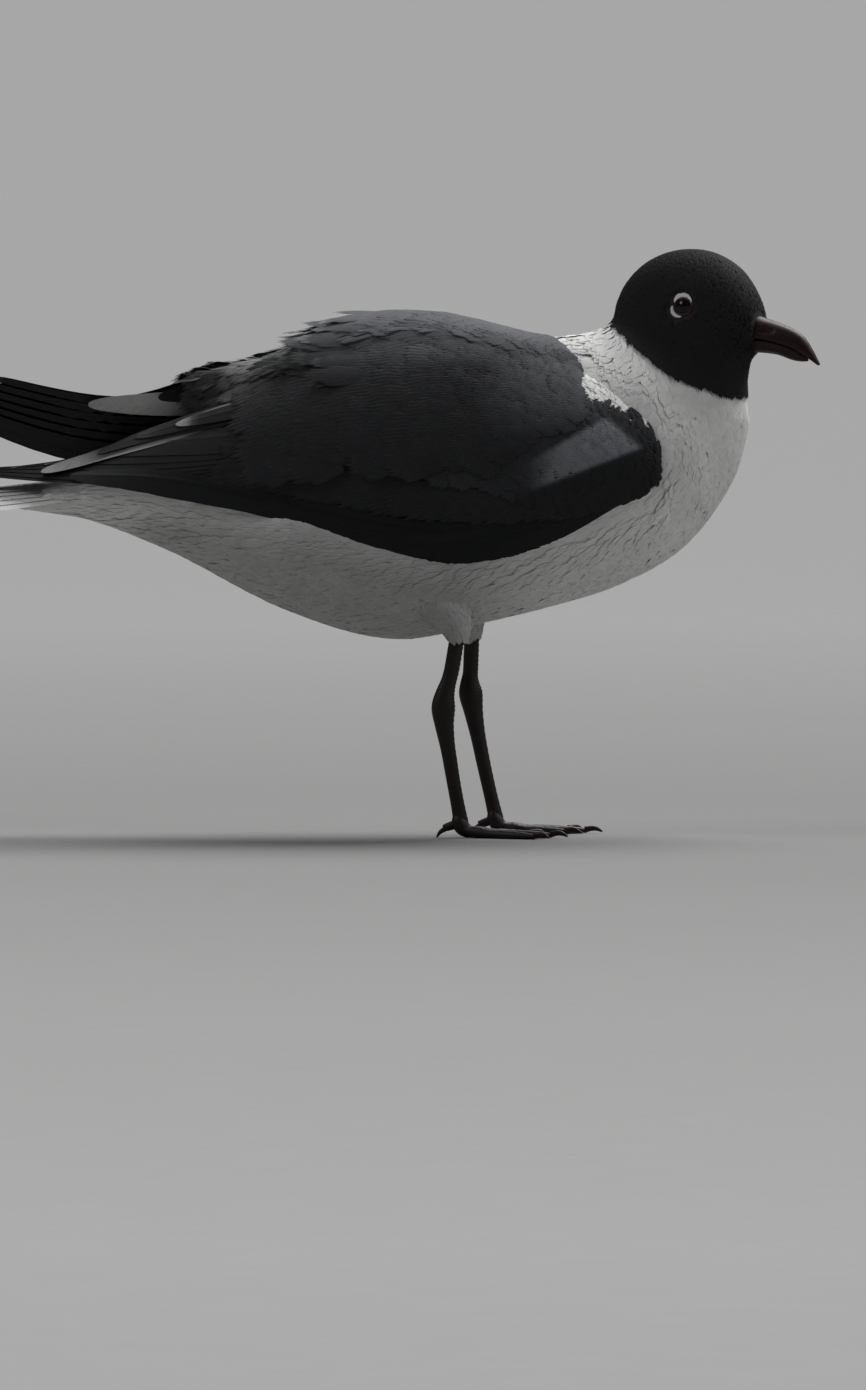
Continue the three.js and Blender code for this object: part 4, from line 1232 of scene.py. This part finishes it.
def dress_wing(side):
    """A folded wing's slate coverts, the white down over its front, its long feathers and its tip."""
    sheet = outer_half(wing_sheet(side))
    coverts = Plumage()
    lesser_coverts(sheet, coverts)
    shoulder_down(side, sheet)
    covert_row(coverts, sheet, 24, (102, -34), (0.385, 0.585), 20, 10.5, 0.36, 0.5)
    covert_row(coverts, sheet, 22, (104, -30), (0.215, 0.4), 30, 13.5, 0.3, 0.1)
    coverts.make(f"coverts_{side}", SLATE_FEATHERS, "slate_plumage", [f"wing_{side}"])
    long = Plumage()
    secondaries(side, long, sheet)
    tertials(side, long, sheet)
    if side == "left":
        far_wing_inside(long)
    long.make(f"wing_feathers_{side}", LONG_SLATE_FEATHERS, "slate_plumage")
    tip = Plumage()
    primaries(side, tip, sheet)
    tip.make(f"primaries_{side}", BLACK_FEATHERS, "black_plumage", [f"wingtip_{side}"])


# ---- mantle and scapulars ------------------------------------------------------------------------
# The line of the back over the folded wings: x and height.
BACK_LINE = np.array([
    [102, 196], [94, 194.2], [86, 194.4], [80.7, 194.6], [71.4, 195.6], [65, 197.3], [54.6, 200],
    [39, 203.8], [20.7, 204.8], [5, 203.6], [-6.6, 199.5], [-14.4, 195], [-22.2, 190], [-33, 184.5],
    [-45, 182.5], [-57, 180], [-70, 176],
], float)
CLOAK_LOW = 0.42  # the cloak's lower edge as a share of the wing's height
CLOAK_SIDE, CLOAK_TOP = 24, 33  # columns up each wing, and over the back
CLOAK_MIDDLE = CLOAK_SIDE + CLOAK_TOP // 2


def cloak_sheet():
    """The mantle as one cover: up the right wing, over the back line as half an ellipse on each side,
    and down the left wing, evened by averaging neighbours."""
    x = np.linspace(102, -66, 127)
    rows = []
    halves = {side: outer_half(wing_sheet(side)) for side in HANDS}
    share = np.linspace(CLOAK_LOW, 1, CLOAK_SIDE)[None] + 0 * x[:, None]
    for side in ("right", "left"):
        wing = halves[side]
        a = wing.row_at(x)[:, None] + 0 * share
        points = wing.read(wing.points, a, share * WING_COLUMNS)
        rows.append(points + unit(wing.read(wing.out, a, share * WING_COLUMNS)) * 1.2)
    right, left = rows
    top = np.interp(-x, -BACK_LINE[:, 0], BACK_LINE[:, 1])[:, None]
    angle = np.radians(np.linspace(-86, 86, CLOAK_TOP))[None]
    edge = np.where((angle < 0)[..., None], right[:, -1:], left[:, -1:])
    side = np.abs(edge[..., 1]) * np.sin(angle)
    dome = np.stack([edge[..., 0] + 0 * angle, side, edge[..., 2] + (top - edge[..., 2]) * np.cos(angle)], -1)
    points = np.concatenate([right, dome, left[:, ::-1]], 1)
    for _ in range(6):
        points[:, 1:-1] = (points[:, :-2] + 2 * points[:, 1:-1] + points[:, 2:]) / 4
        points[1:-1] = (points[:-2] + 2 * points[1:-1] + points[2:]) / 4
    return Sheet(points, False, np.array([20, 0, 140]))


def mantle_front(z):
    """How far forward the slate of the back reaches at each height."""
    heights = [150, 165, 168, 173, 180, 184.5, 191.5, 200]
    return np.interp(z, heights, [112, 103.5, 100.5, 99.5, 97.5, 95, 91, 86])


def dress_mantle():
    """Slate feathers over the back, larger from band to band, and the roof over the rump. Gives the
    sheet that they lie on."""
    sheet = cloak_sheet()
    mantle = Plumage()
    # Each band: where it starts and ends in x, then spacing, length and width.
    bands = ((72, 110, 4.2, 11, 8), (44, 72, 5.2, 15, 10), (14, 44, 6.4, 20, 13), (-22, 14, 7.4, 27, 15))
    for first, last, spacing, length, width in bands:
        def keep(points, a, b):
            x, z = points[..., 0], points[..., 2]
            # Mantle roots stay clear above the painted highlight on the wing's bend.
            free = (x < 50) | (z > painted_highlight_top(x) + 4)
            return (x >= first) & (x < last) & (x < mantle_front(z) - 2) & free

        a, b = scatter(sheet, spacing, keep)
        place = sheet.read(sheet.points, a, b)
        slope = np.where(place[:, 2] < 185, -0.1, 0.0)
        sunk = -0.4 - 2.8 * smooth_step(9, 1, mantle_front(place[:, 2]) - place[:, 0])
        heading = spread_heading(sheet, a, b, np.stack([-1 + 0 * slope, 0 * slope, slope], -1), 5)
        reach = length * chance.uniform(0.9, 1.12, len(a))
        path = walk(sheet, a, b, heading, reach, 8)
        tip = chance.uniform(0.5, 0.72, len(a))
        shade = chance.normal(1.0, 0.05, len(a))
        wide = width * chance.uniform(0.92, 1.08, len(a))
        pale = pale_tip(COVERT, 0.86, 0.05, len(a))
        # Painted light along the back and painted shade down the sides.
        mantle.add(sheet, path, COVERT, wide, 0.3, (sunk, tip, -2.0), shade, pale, 0.05, slate_painted_light)
    mantle.make("mantle_feathers", SLATE_FEATHERS, "slate_plumage")
    roof_over_rump(sheet)
    return sheet


def roof_over_rump(sheet):
    """Loose feathers from the rear of the back over the gap between the wings: dark ones below, worn
    pale ones on top."""
    roof = Plumage()
    count = sheet.points.shape[1] - 1
    # Each row: the roots' x, number, length, width, how white the tips are, height in the pile.
    rows = (
        (-46, 9, 22, 12, 0.0, -0.4),
        (-38, 10, 24, 12, 0.0, 0.1),
        (-31, 12, 24, 10, 0.3, 0.6),
        (-24, 13, 24, 10, 0.35, 1.1),
    )
    for first, number, reach, wide, white, low in rows:
        share = np.linspace(0.335, 0.665, number) + chance.normal(0, 0.006, number)
        x = first + chance.normal(0, 1.5, number)
        a = sheet.row_at(x, CLOAK_MIDDLE)
        heading = spread_heading(sheet, a, share * count, np.tile([-1.0, 0, -0.25], (number, 1)), 5)
        path = walk(sheet, a, share * count, heading, reach * chance.uniform(0.85, 1.1, number), 9)
        pale = pale_tip(LOOSE, 0.35, white, number) * chance.uniform(0.6, 1.1, number)[:, None]
        lift = (low - 0.8, low + chance.uniform(0, 0.5, number), 1)
        wide = wide * chance.uniform(0.9, 1.1, number)
        # Painted light along the back and painted shade down the sides.
        roof.add(sheet, path, LOOSE, wide, 0.3, lift, 1.1, pale, 0.06, slate_painted_light)
    roof.make("rump_roof_feathers", SLATE_FEATHERS, "slate_plumage")


def raised_scapulars(sheet):
    """The hindmost feathers of the back, lifted by the wind in layers, with slightly worn tips."""
    plumage = Plumage()
    # Each layer: height in the pile, number, the roots' x, length, how far the tips stand up, and half
    # the layer's spread as a share of the sheet's breadth.
    layers = (
        (0.2, 24, 12, 27, 4.2, 0.3),
        (-0.5, 24, 2, 27, 5.6, 0.26),
        (-2.0, 22, -8, 24, 2.0, 0.24),
        (-1.5, 20, -18, 22, 1.2, 0.26),
    )
    for low, number, first, reach, height, spread in layers:
        share = np.linspace(0.5 - spread, 0.5 + spread, number) + chance.normal(0, 0.012, number)
        x = first + chance.normal(0, 4.5, number) - 12 * np.abs(share - 0.5)
        a = sheet.row_at(x, CLOAK_MIDDLE)
        b = share * (sheet.points.shape[1] - 1)
        heading = spread_heading(sheet, a, b, np.tile([-1.0, 0, 0.0], (number, 1)), 7)
        length = reach * chance.uniform(0.75, 1.12, number)
        path = walk(sheet, a, b, heading, length, 10)
        tip = height * chance.uniform(0.4, 1.25, number)
        pale = pale_tip(LOOSE, 0.82, 1.0, number) * chance.uniform(0.05, 0.4, number)[:, None]
        wide = chance.uniform(6.5, 10.5, number)
        # Painted light along the back and painted shade down the sides.
        plumage.add(sheet, path, LOOSE, wide, 0.35, (low, tip, 1.8), 1.05, pale, 0.08, slate_painted_light)
    plumage.make("raised_scapulars", SLATE_FEATHERS, "slate_plumage")


# ---- tail ----------------------------------------------------------------------------------------
def dress_tail():
    """Eleven white tail feathers, spread a little: the middle one on top, and five on each side, each
    lower than the one before. The sheet arches down to its sides by arch x |side|^1.7."""
    stations, sides = grid(-0.6, 4, 60, -1.05, 1.05, 41)
    k = along(TAIL, stations)
    points = np.stack([k[..., 0], k[..., 2] * sides, k[..., 1] - k[..., 3] * np.abs(sides) ** 1.7], -1)
    sheet = Sheet(points, False, np.array([-120, 0, 60]))
    tail = Plumage()
    for number in range(6):
        for hand in ((1,) if number == 0 else (1, -1)):
            outer = number / 5.5
            a = np.linspace(1, 58.6 - 3 * outer**2, 17)[None]
            b = 20 + hand * 20 * outer * np.linspace(0.45, 0.86, 17)[None]
            low = -0.1 - 0.32 * number - (0.16 if hand < 0 else 0)
            lift = (low, low, 1)
            tail.add(sheet, sheet.path(a, b), RECTRIX, np.array([14.0]), 0.3, lift, 1.0, camber=0.05)
    tail.make("tail_feathers", WHITE_FEATHERS, "white_plumage", ["tail"])


# ---- head: eyes and bill -------------------------------------------------------------------------
def eye_frame(side):
    """The middle of the eyeball with its ahead, up and outward directions."""
    hand = HANDS[side]
    centre = turn_with_head(HEAD_PIVOT_X + EYE_FORWARD, np.array(hand * EYE_MIDDLE), EYE_UP, HEAD_TURN)
    turn = -np.radians(HEAD_TURN)
    ahead = np.array([np.cos(turn), np.sin(turn), 0])
    outward = hand * np.array([-np.sin(turn), np.cos(turn), 0])
    return centre, ahead, np.array([0, 0, 1.0]), outward


def placed(frame_of_eye, across, up, out):
    """Points told in an eye's own directions."""
    centre, ahead, upward, outward = frame_of_eye
    return centre + across[..., None] * ahead + up[..., None] * upward + out[..., None] * outward


def make_eye(side):
    """A ball 0.1 mm within the eye's radius, whose clear front swells by 0.35 mm x exp(-(angle / 0.5)^2)
    about its axis."""
    place = eye_frame(side)
    polar, turn = grid(0.02, np.pi - 0.02, 40, 0, 2 * np.pi, 48, True)
    radius = EYE_RADIUS + 0.35 * np.exp(-((polar / 0.5) ** 2)) - 0.1
    wide = radius * np.sin(polar)
    points, faces = ring_tube(placed(place, wide * np.cos(turn), wide * np.sin(turn), radius * np.cos(polar)))
    eye = mesh_piece(f"eyeball_{side}", points, faces, EYE, "eye", [f"eye_{side}"])
    from_axis = np.linalg.norm(np.cross(points - place[0], place[3]), axis=-1)
    iris = smooth_step(*PUPIL_EDGE, from_axis)
    eye.data.attributes.new("iris", "FLOAT", "POINT").data.foreach_set("value", iris)


LID_OPENING, LID_REACH = (3.5, 2.9), (4.5, 4.4)  # half widths and half heights of a lid's two edges


def make_lid(side):
    """A lid round the eye: a band from an oval opening (p = 0) outwards (p = 1) that leaves the ball for
    the skin, with a rim of 0.42 mm x sin(1.6 pi p), fine folds, and a back 0.7 mm x sin(pi p) below."""
    place = eye_frame(side)
    turn = np.linspace(0, 2 * np.pi, 72, endpoint=False)[:, None]
    p = np.linspace(0, 1, 9)[None]
    wide = LID_OPENING[0] + (LID_REACH[0] - LID_OPENING[0]) * p
    tall = LID_OPENING[1] + (LID_REACH[1] - LID_OPENING[1]) * p
    across, up = wide * np.cos(turn), tall * np.sin(turn)
    radius = np.hypot(across, up)
    ball = np.sqrt(np.maximum((EYE_RADIUS + 0.1) ** 2 - radius**2, 0.1))
    skin_level = EYE_SIDE - EYE_MIDDLE - 0.1 - 0.35 * (radius / 5) ** 2
    blend = smooth_step(0.25, 0.8, p)
    folds = 0.05 * np.sin(np.pi * 5 * p) * np.sin(turn * 9) ** 2
    out = ball * (1 - blend) + skin_level * blend + 0.42 * np.sin(np.pi * np.clip(p * 1.6, 0, 1)) + folds
    over = placed(place, across, up, out)
    under = placed(place, across[:, ::-1], up[:, ::-1], out[:, ::-1] - 0.7 * np.sin(np.pi * p) - 0.05)
    points = np.concatenate([over, under], 1)
    sides = points.shape[1]
    r, s = np.meshgrid(np.arange(72), np.arange(sides), indexing="ij")
    here, beside = r * sides + s, r * sides + (s + 1) % sides
    after, across_after = (r + 1) % 72 * sides + s, (r + 1) % 72 * sides + (s + 1) % sides
    faces = np.stack([here, beside, across_after, here, across_after, after], -1).reshape(-1, 3)
    flat = points.reshape(-1, 3)
    corners = [flat[faces[:, k]] - place[0] for k in range(3)]
    if (np.cross(corners[0], corners[1]) * corners[2]).sum() < 0:
        faces = faces[:, ::-1]
    mesh_piece(f"eyelid_{side}", flat, faces, LID, "black_hood")


# The white arcs of an eye: first and last angle about the eye from straight ahead, turning upwards,
# how far from its middle they start, their breadth, and the length of their feathers.
EYE_ARCS = ((34, 146, 3.4, 1.0, 1.5), (184, 256, 3.9, 0.6, 1.2))


def find_on(sheet, a, b, targets):
    """The grid places nearest to target points, by repeated straight steps from a first guess."""
    for _ in range(8):
        da, db = sheet.step(a, b, targets - sheet.read(sheet.points, a, b))
        a, b = a + 0.8 * da, b + 0.8 * db
    return a, b


def within_arcs(side, points):
    """True where a place on the head is under one of the white arcs."""
    centre, ahead, upward, _ = eye_frame(side)
    across, up = ((points - centre) * ahead).sum(-1), ((points - centre) * upward).sum(-1)
    angle, radius = np.degrees(np.arctan2(up, across)) % 360, np.hypot(across, up)
    inside = np.zeros(angle.shape, bool)
    for first, last, inner, breadth, length in EYE_ARCS:
        inside |= (angle > first - 4) & (angle < last + 4) & (radius < inner + breadth + length - 0.3)
    return inside & (np.linalg.norm(points - centre, axis=-1) < 9)


def dress_eye(side):
    """Two white arcs of tiny feathers that point away from the eye, one above it and one behind it and
    below."""
    place = eye_frame(side)
    plumage = Plumage()
    for first, last, inner, breadth, length in EYE_ARCS:
        number = int((last - first) * 1.9)
        share = chance.random(number)
        angle = np.radians(first + (last - first) * share)
        ends = np.sin(np.pi * share) ** 0.6
        radius = inner + breadth * chance.random(number) * ends
        targets = placed(place, radius * np.cos(angle), 0.92 * radius * np.sin(angle), 0 * radius + 3.2)
        side_angle = BODY_COLUMNS * (0.25 if HANDS[side] > 0 else 0.75)
        a, b = find_on(body, np.full(number, 17.5 * BODY_ROWS), np.full(number, side_angle), targets)
        outwards = targets - placed(place, 0 * radius, 0 * radius, 0 * radius + 3.2)
        heading = spread_heading(body, a, b, unit(outwards), 9)
        reach = length * (0.45 + 0.55 * ends) * chance.uniform(0.85, 1.1, number)
        path = walk(body, a, b, heading, reach, 3)
        lift = (-0.6, chance.uniform(0.25, 0.6, number), -2)
        plumage.add(body, path, tuft_shape(3), 1.0 * np.ones(number), 0.16, lift, 1.08)
    plumage.make(f"eye_arcs_{side}", WHITE_FEATHERS, "black_hood")


def bill_half(keys, name, node, upper):
    """Egg-shaped slices carried along the bill. The upper half has a slit nostril and a groove over its
    cutting edge pressed in on each side; the lower half reaches 1.3 mm up into it and is narrower."""
    stations, angles = grid(0, len(keys) - 1, 90, 0, 2 * np.pi, 64, True)
    fine = keys.copy()
    if not upper:
        fine[:, 1] += 1.3
        fine[:, 4] -= 0.35
    depth = np.zeros(stations.shape)
    if upper:
        for middle in (np.radians(64), np.radians(296)):
            slit = ((stations - 1.45) / 0.55) ** 2 + ((angles - middle - 0.1 * (stations - 1.45)) / 0.16) ** 2
            depth += 0.9 * smooth_step(1.3, 0.5, slit)
    surface = body_surface(fine, stations, angles, 0)
    centre = surface.mean(1, keepdims=True)
    from_edge = (np.abs(np.pi - angles) - np.radians(60)) / 0.12
    groove = 0.12 * np.exp(-(from_edge**2)) * smooth_step(6, 3, stations)
    surface = surface + unit(centre - surface) * (depth + groove * (1 if upper else 0))[..., None]
    points, faces = ring_tube(surface)
    mesh_piece(name, points, faces, HORN, "bill_horn", [node])


# ---- legs and feet -------------------------------------------------------------------------------
def scutes(count, depth):
    """Plates down the front of a limb: the radius steps out by the depth and falls back, count times."""
    def press(share, angles):
        front = np.maximum(np.sin(angles), 0) ** 2
        plate = (share * count) % 1
        return 1 + depth * front * (smooth_step(0, 0.25, plate) - plate * 0.7)
    return press


def joints(places, swell):
    """Knuckles at a toe's joints: the radius grows by swell x exp(-(distance / 0.07)^2) round each place,
    with small ridges of a sine on top."""
    def press(share, angles):
        bumps = sum(np.exp(-(((share - place) / 0.07) ** 2)) for place in places)
        return 1 + swell * bumps + 0.03 * np.sin(share * 90) * np.maximum(np.sin(angles), 0)
    return press


def make_leg(side):
    """The bare leg from under the cuff to the foot, with plates down its front."""
    leg, hand = LEGS[side], HANDS[side]
    above = (leg["cuff"][0] + 0.4, leg["cuff"][1], leg["cuff"][2] + 8)
    middle = tuple((p + q) / 2 for p, q in zip(leg["ankle"], leg["foot"]))
    route = [above, leg["shin"], leg["ankle"], (middle[0] - 0.5, *middle[1:]), leg["foot"]]
    rings = path_tube([handed(p, hand) for p in route], LEG_RADII, 28, LEG_FLATNESS, 190, scutes(38, 0.09))
    points, faces = ring_tube(rings)
    mesh_piece(f"bare_leg_{side}", points, faces, LEG_SKIN, "leg_skin", [f"leg_{side}"])


def make_foot(side):
    """Three front toes with pads at their joints, a small hind toe, a claw of horn on each, and webs
    between the front toes: shares of the toes' length (u) and of the way from one toe to the next (v),
    drawn in at the free edge and sagging between the toes as sin(pi v)."""
    hand, (x, out, _) = HANDS[side], LEGS[side]["foot"]

    def at(length, degrees, up):
        angle = np.radians(TOE_OUT - degrees)
        return (x + length * np.cos(angle), hand * (out + length * np.sin(angle)), up)

    skin, claws = [], []
    for length, spread in TOES.values():
        toe = ((-0.5, 4), (6, 2.4), (length * 0.55, 1.5), (length, 1.2))
        route = [at(reach, spread, up) for reach, up in toe]
        radii = [2.4, 1.9, 2, 1.6, 1.7, 0.5]
        skin.append(ring_tube(path_tube(route, radii, 20, 1, 60, joints((0.4, 0.66, 0.93), 0.14))))
        hook = ((length - 2, 1.7), (length + 2, 2), (length + CLAW_LENGTH, 0.7))
        claw = [at(reach, spread, up) for reach, up in hook]
        claws.append(ring_tube(path_tube(claw, [1.1, 1, 0.3], 14, 0.75, 20)))
    hind = [at(-0.5, 182, 6), at(HALLUX_LENGTH * 0.8, 189, 4.2), at(HALLUX_LENGTH, 190, 3.4)]
    skin.append(ring_tube(path_tube(hind, [1.9, 1.6, 1.2], 16, 1, 20, joints((0.7,), 0.1))))
    bend = ((-0.8, 190, 3.7), (1.6, 192, 2.2), (3, 194, 0.2))
    spur = [at(HALLUX_LENGTH + beyond, degrees, up) for beyond, degrees, up in bend]
    claws.append(ring_tube(path_tube(spur, [1.1, 0.8, 0.3], 12, 0.8, 12)))
    slope = ((-1.4, 9.5), (-0.8, 6.5), (0.6, 4), (3, 2.4), (6, 1.6))
    heel = [(x + ahead, hand * out, up) for ahead, up in slope]
    skin.append(ring_tube(path_tube(heel, [1.6, 2.7, 3.1, 2.9, 2.2, 0.5], 24, 1, 30)))
    spans = list(TOES.values())
    for (length_a, spread_a), (length_b, spread_b) in zip(spans[:-1], spans[1:]):
        u, v = grid(0.05, 1, 30, 0, 1, 22)
        hollow = 1 - 0.2 * np.sin(np.pi * v)
        length = 0.97 * u * ((length_a * (1 - v) + length_b * v) * hollow)
        angle = np.radians(TOE_OUT - (spread_a * (1 - v) + spread_b * v))
        sag = np.sin(np.pi * v)
        top = 1.7 - 0.5 * u - 0.5 * sag + 0.12 * np.sin(v * 28) * sag * u
        ahead, beside = x + length * np.cos(angle), hand * (out + length * np.sin(angle))
        over, under = (np.stack([ahead, beside, up], -1) for up in (top, np.full_like(top, 0.25)))
        skin.append(ring_tube(np.concatenate([over, under[:, ::-1]], 1)))
    mesh_piece(f"webbed_foot_{side}", *join(skin), LEG_SKIN, "leg_skin", [f"foot_{side}"])
    mesh_piece(f"claws_{side}", *join(claws), HORN, "leg_skin")


# ---- camera, light and floor ---------------------------------------------------------------------
def set_camera():
    """A long lens on the bird's right, far off and two degrees above level, for a tall picture."""
    centre = np.array([33.5, 0, 55]) * MM
    distance, tall = 8.0, 0.5421
    elevation = np.radians(2.0)
    camera = bpy.data.objects.new("camera", bpy.data.cameras.new("camera"))
    camera.data.sensor_width = 36
    camera.data.lens = 36 * distance / tall
    camera.location = centre + distance * np.array([0, -np.cos(elevation), np.sin(elevation)])
    camera.rotation_euler = (np.pi / 2 - elevation, 0, 0)
    bpy.context.scene.collection.objects.link(camera)
    bpy.context.scene.camera = camera


def set_floor():
    """A plain pale floor, flat and wide, deeper in tone close round the model."""
    reach = 3000  # metres
    corners = [(-reach, -reach, 0), (reach, -reach, 0), (reach, reach, 0), (-reach, reach, 0)]
    mesh = bpy.data.meshes.new("floor")
    mesh.from_pydata(corners, [], [(0, 1, 2, 3)])
    finish = Finish("pale floor", Roughness=0.9)
    grain = finish.node("ShaderNodeTexNoise", Vector=finish.place(), Scale=40.0)
    distance = finish.node("ShaderNodeVectorMath", {"operation": "LENGTH"}, Vector=finish.place())
    away = finish.node("ShaderNodeMapRange", Value=distance.outputs["Value"], From_Min=0.4, From_Max=2.6)
    near = finish.mix(grain.outputs["Fac"], (0.19, 0.19, 0.188, 1), (0.2, 0.2, 0.198, 1))
    far = finish.mix(grain.outputs["Fac"], (0.275, 0.275, 0.273, 1), (0.291, 0.291, 0.289, 1))
    finish.feed("Base Color", finish.mix(away.outputs[0], near, far))
    mesh.materials.append(finish.material)
    floor = bpy.data.objects.new("floor", mesh)
    bpy.context.scene.collection.objects.link(floor)


def aim(light, place, target):
    """Stands a light at a place, its face towards the target."""
    light.location = place
    towards = np.array(target, float) - np.array(place, float)
    tilt = np.arctan2(np.hypot(*towards[:2]), -towards[2])
    light.rotation_euler = (tilt, 0, np.arctan2(-towards[0], towards[1]))
    bpy.context.scene.collection.objects.link(light)


def area_light(name, place, target, size, watts):
    """A flat light of a size in metres, which the camera doesn't see."""
    lamp = bpy.data.lights.new(name, "AREA")
    lamp.shape, lamp.size, lamp.size_y, lamp.energy = "RECTANGLE", size[0], size[1], watts
    light = bpy.data.objects.new(name, lamp)
    light.visible_camera = False
    aim(light, place, target)


def set_light():
    """A wide soft sun from above on the bird's left, weak fills from ahead and from behind on its right,
    and a pale sky that is seen at its full tone but lights the bird only faintly."""
    world = bpy.data.worlds.new("studio")
    world.use_nodes = True
    tree = world.node_tree
    faint = tree.nodes["Background"]
    faint.inputs["Color"].default_value = (0.9, 0.92, 0.95, 1)
    faint.inputs["Strength"].default_value = 0.05
    seen = tree.nodes.new("ShaderNodeBackground")
    seen.inputs["Color"].default_value = (0.4, 0.4, 0.4, 1)
    choice, ray = tree.nodes.new("ShaderNodeMixShader"), tree.nodes.new("ShaderNodeLightPath")
    tree.links.new(ray.outputs["Is Camera Ray"], choice.inputs[0])
    tree.links.new(faint.outputs[0], choice.inputs[1])
    tree.links.new(seen.outputs[0], choice.inputs[2])
    tree.links.new(choice.outputs[0], tree.nodes["World Output"].inputs["Surface"])
    bpy.context.scene.world = world
    lamp = bpy.data.lights.new("overhead", "SUN")
    lamp.energy, lamp.angle = 4.25, np.radians(50)
    aim(bpy.data.objects.new("overhead", lamp), (0.55, 0.72, 1.5), (0, 0, 0))
    area_light("front fill", (1.9, -1.1, 1.2), (0.12, 0, 0.17), (1.0, 1.0), 8)
    area_light("rear fill", (-1.9, -0.8, 1.9), (-0.12, 0, 0.14), (1.2, 1.0), 16)


set_camera()
set_floor()
set_light()
bpy.context.scene.view_settings.view_transform = "Standard"
make_skin()
dress_body()
for side in HANDS:
    dress_wing(side)
raised_scapulars(dress_mantle())
dress_tail()
for side in HANDS:
    make_eye(side)
    make_lid(side)
    dress_eye(side)
    make_leg(side)
    make_foot(side)
bill_half(UPPER_BILL, "upper_bill", "bill_upper", True)
bill_half(LOWER_BILL, "lower_bill", "bill_lower", False)
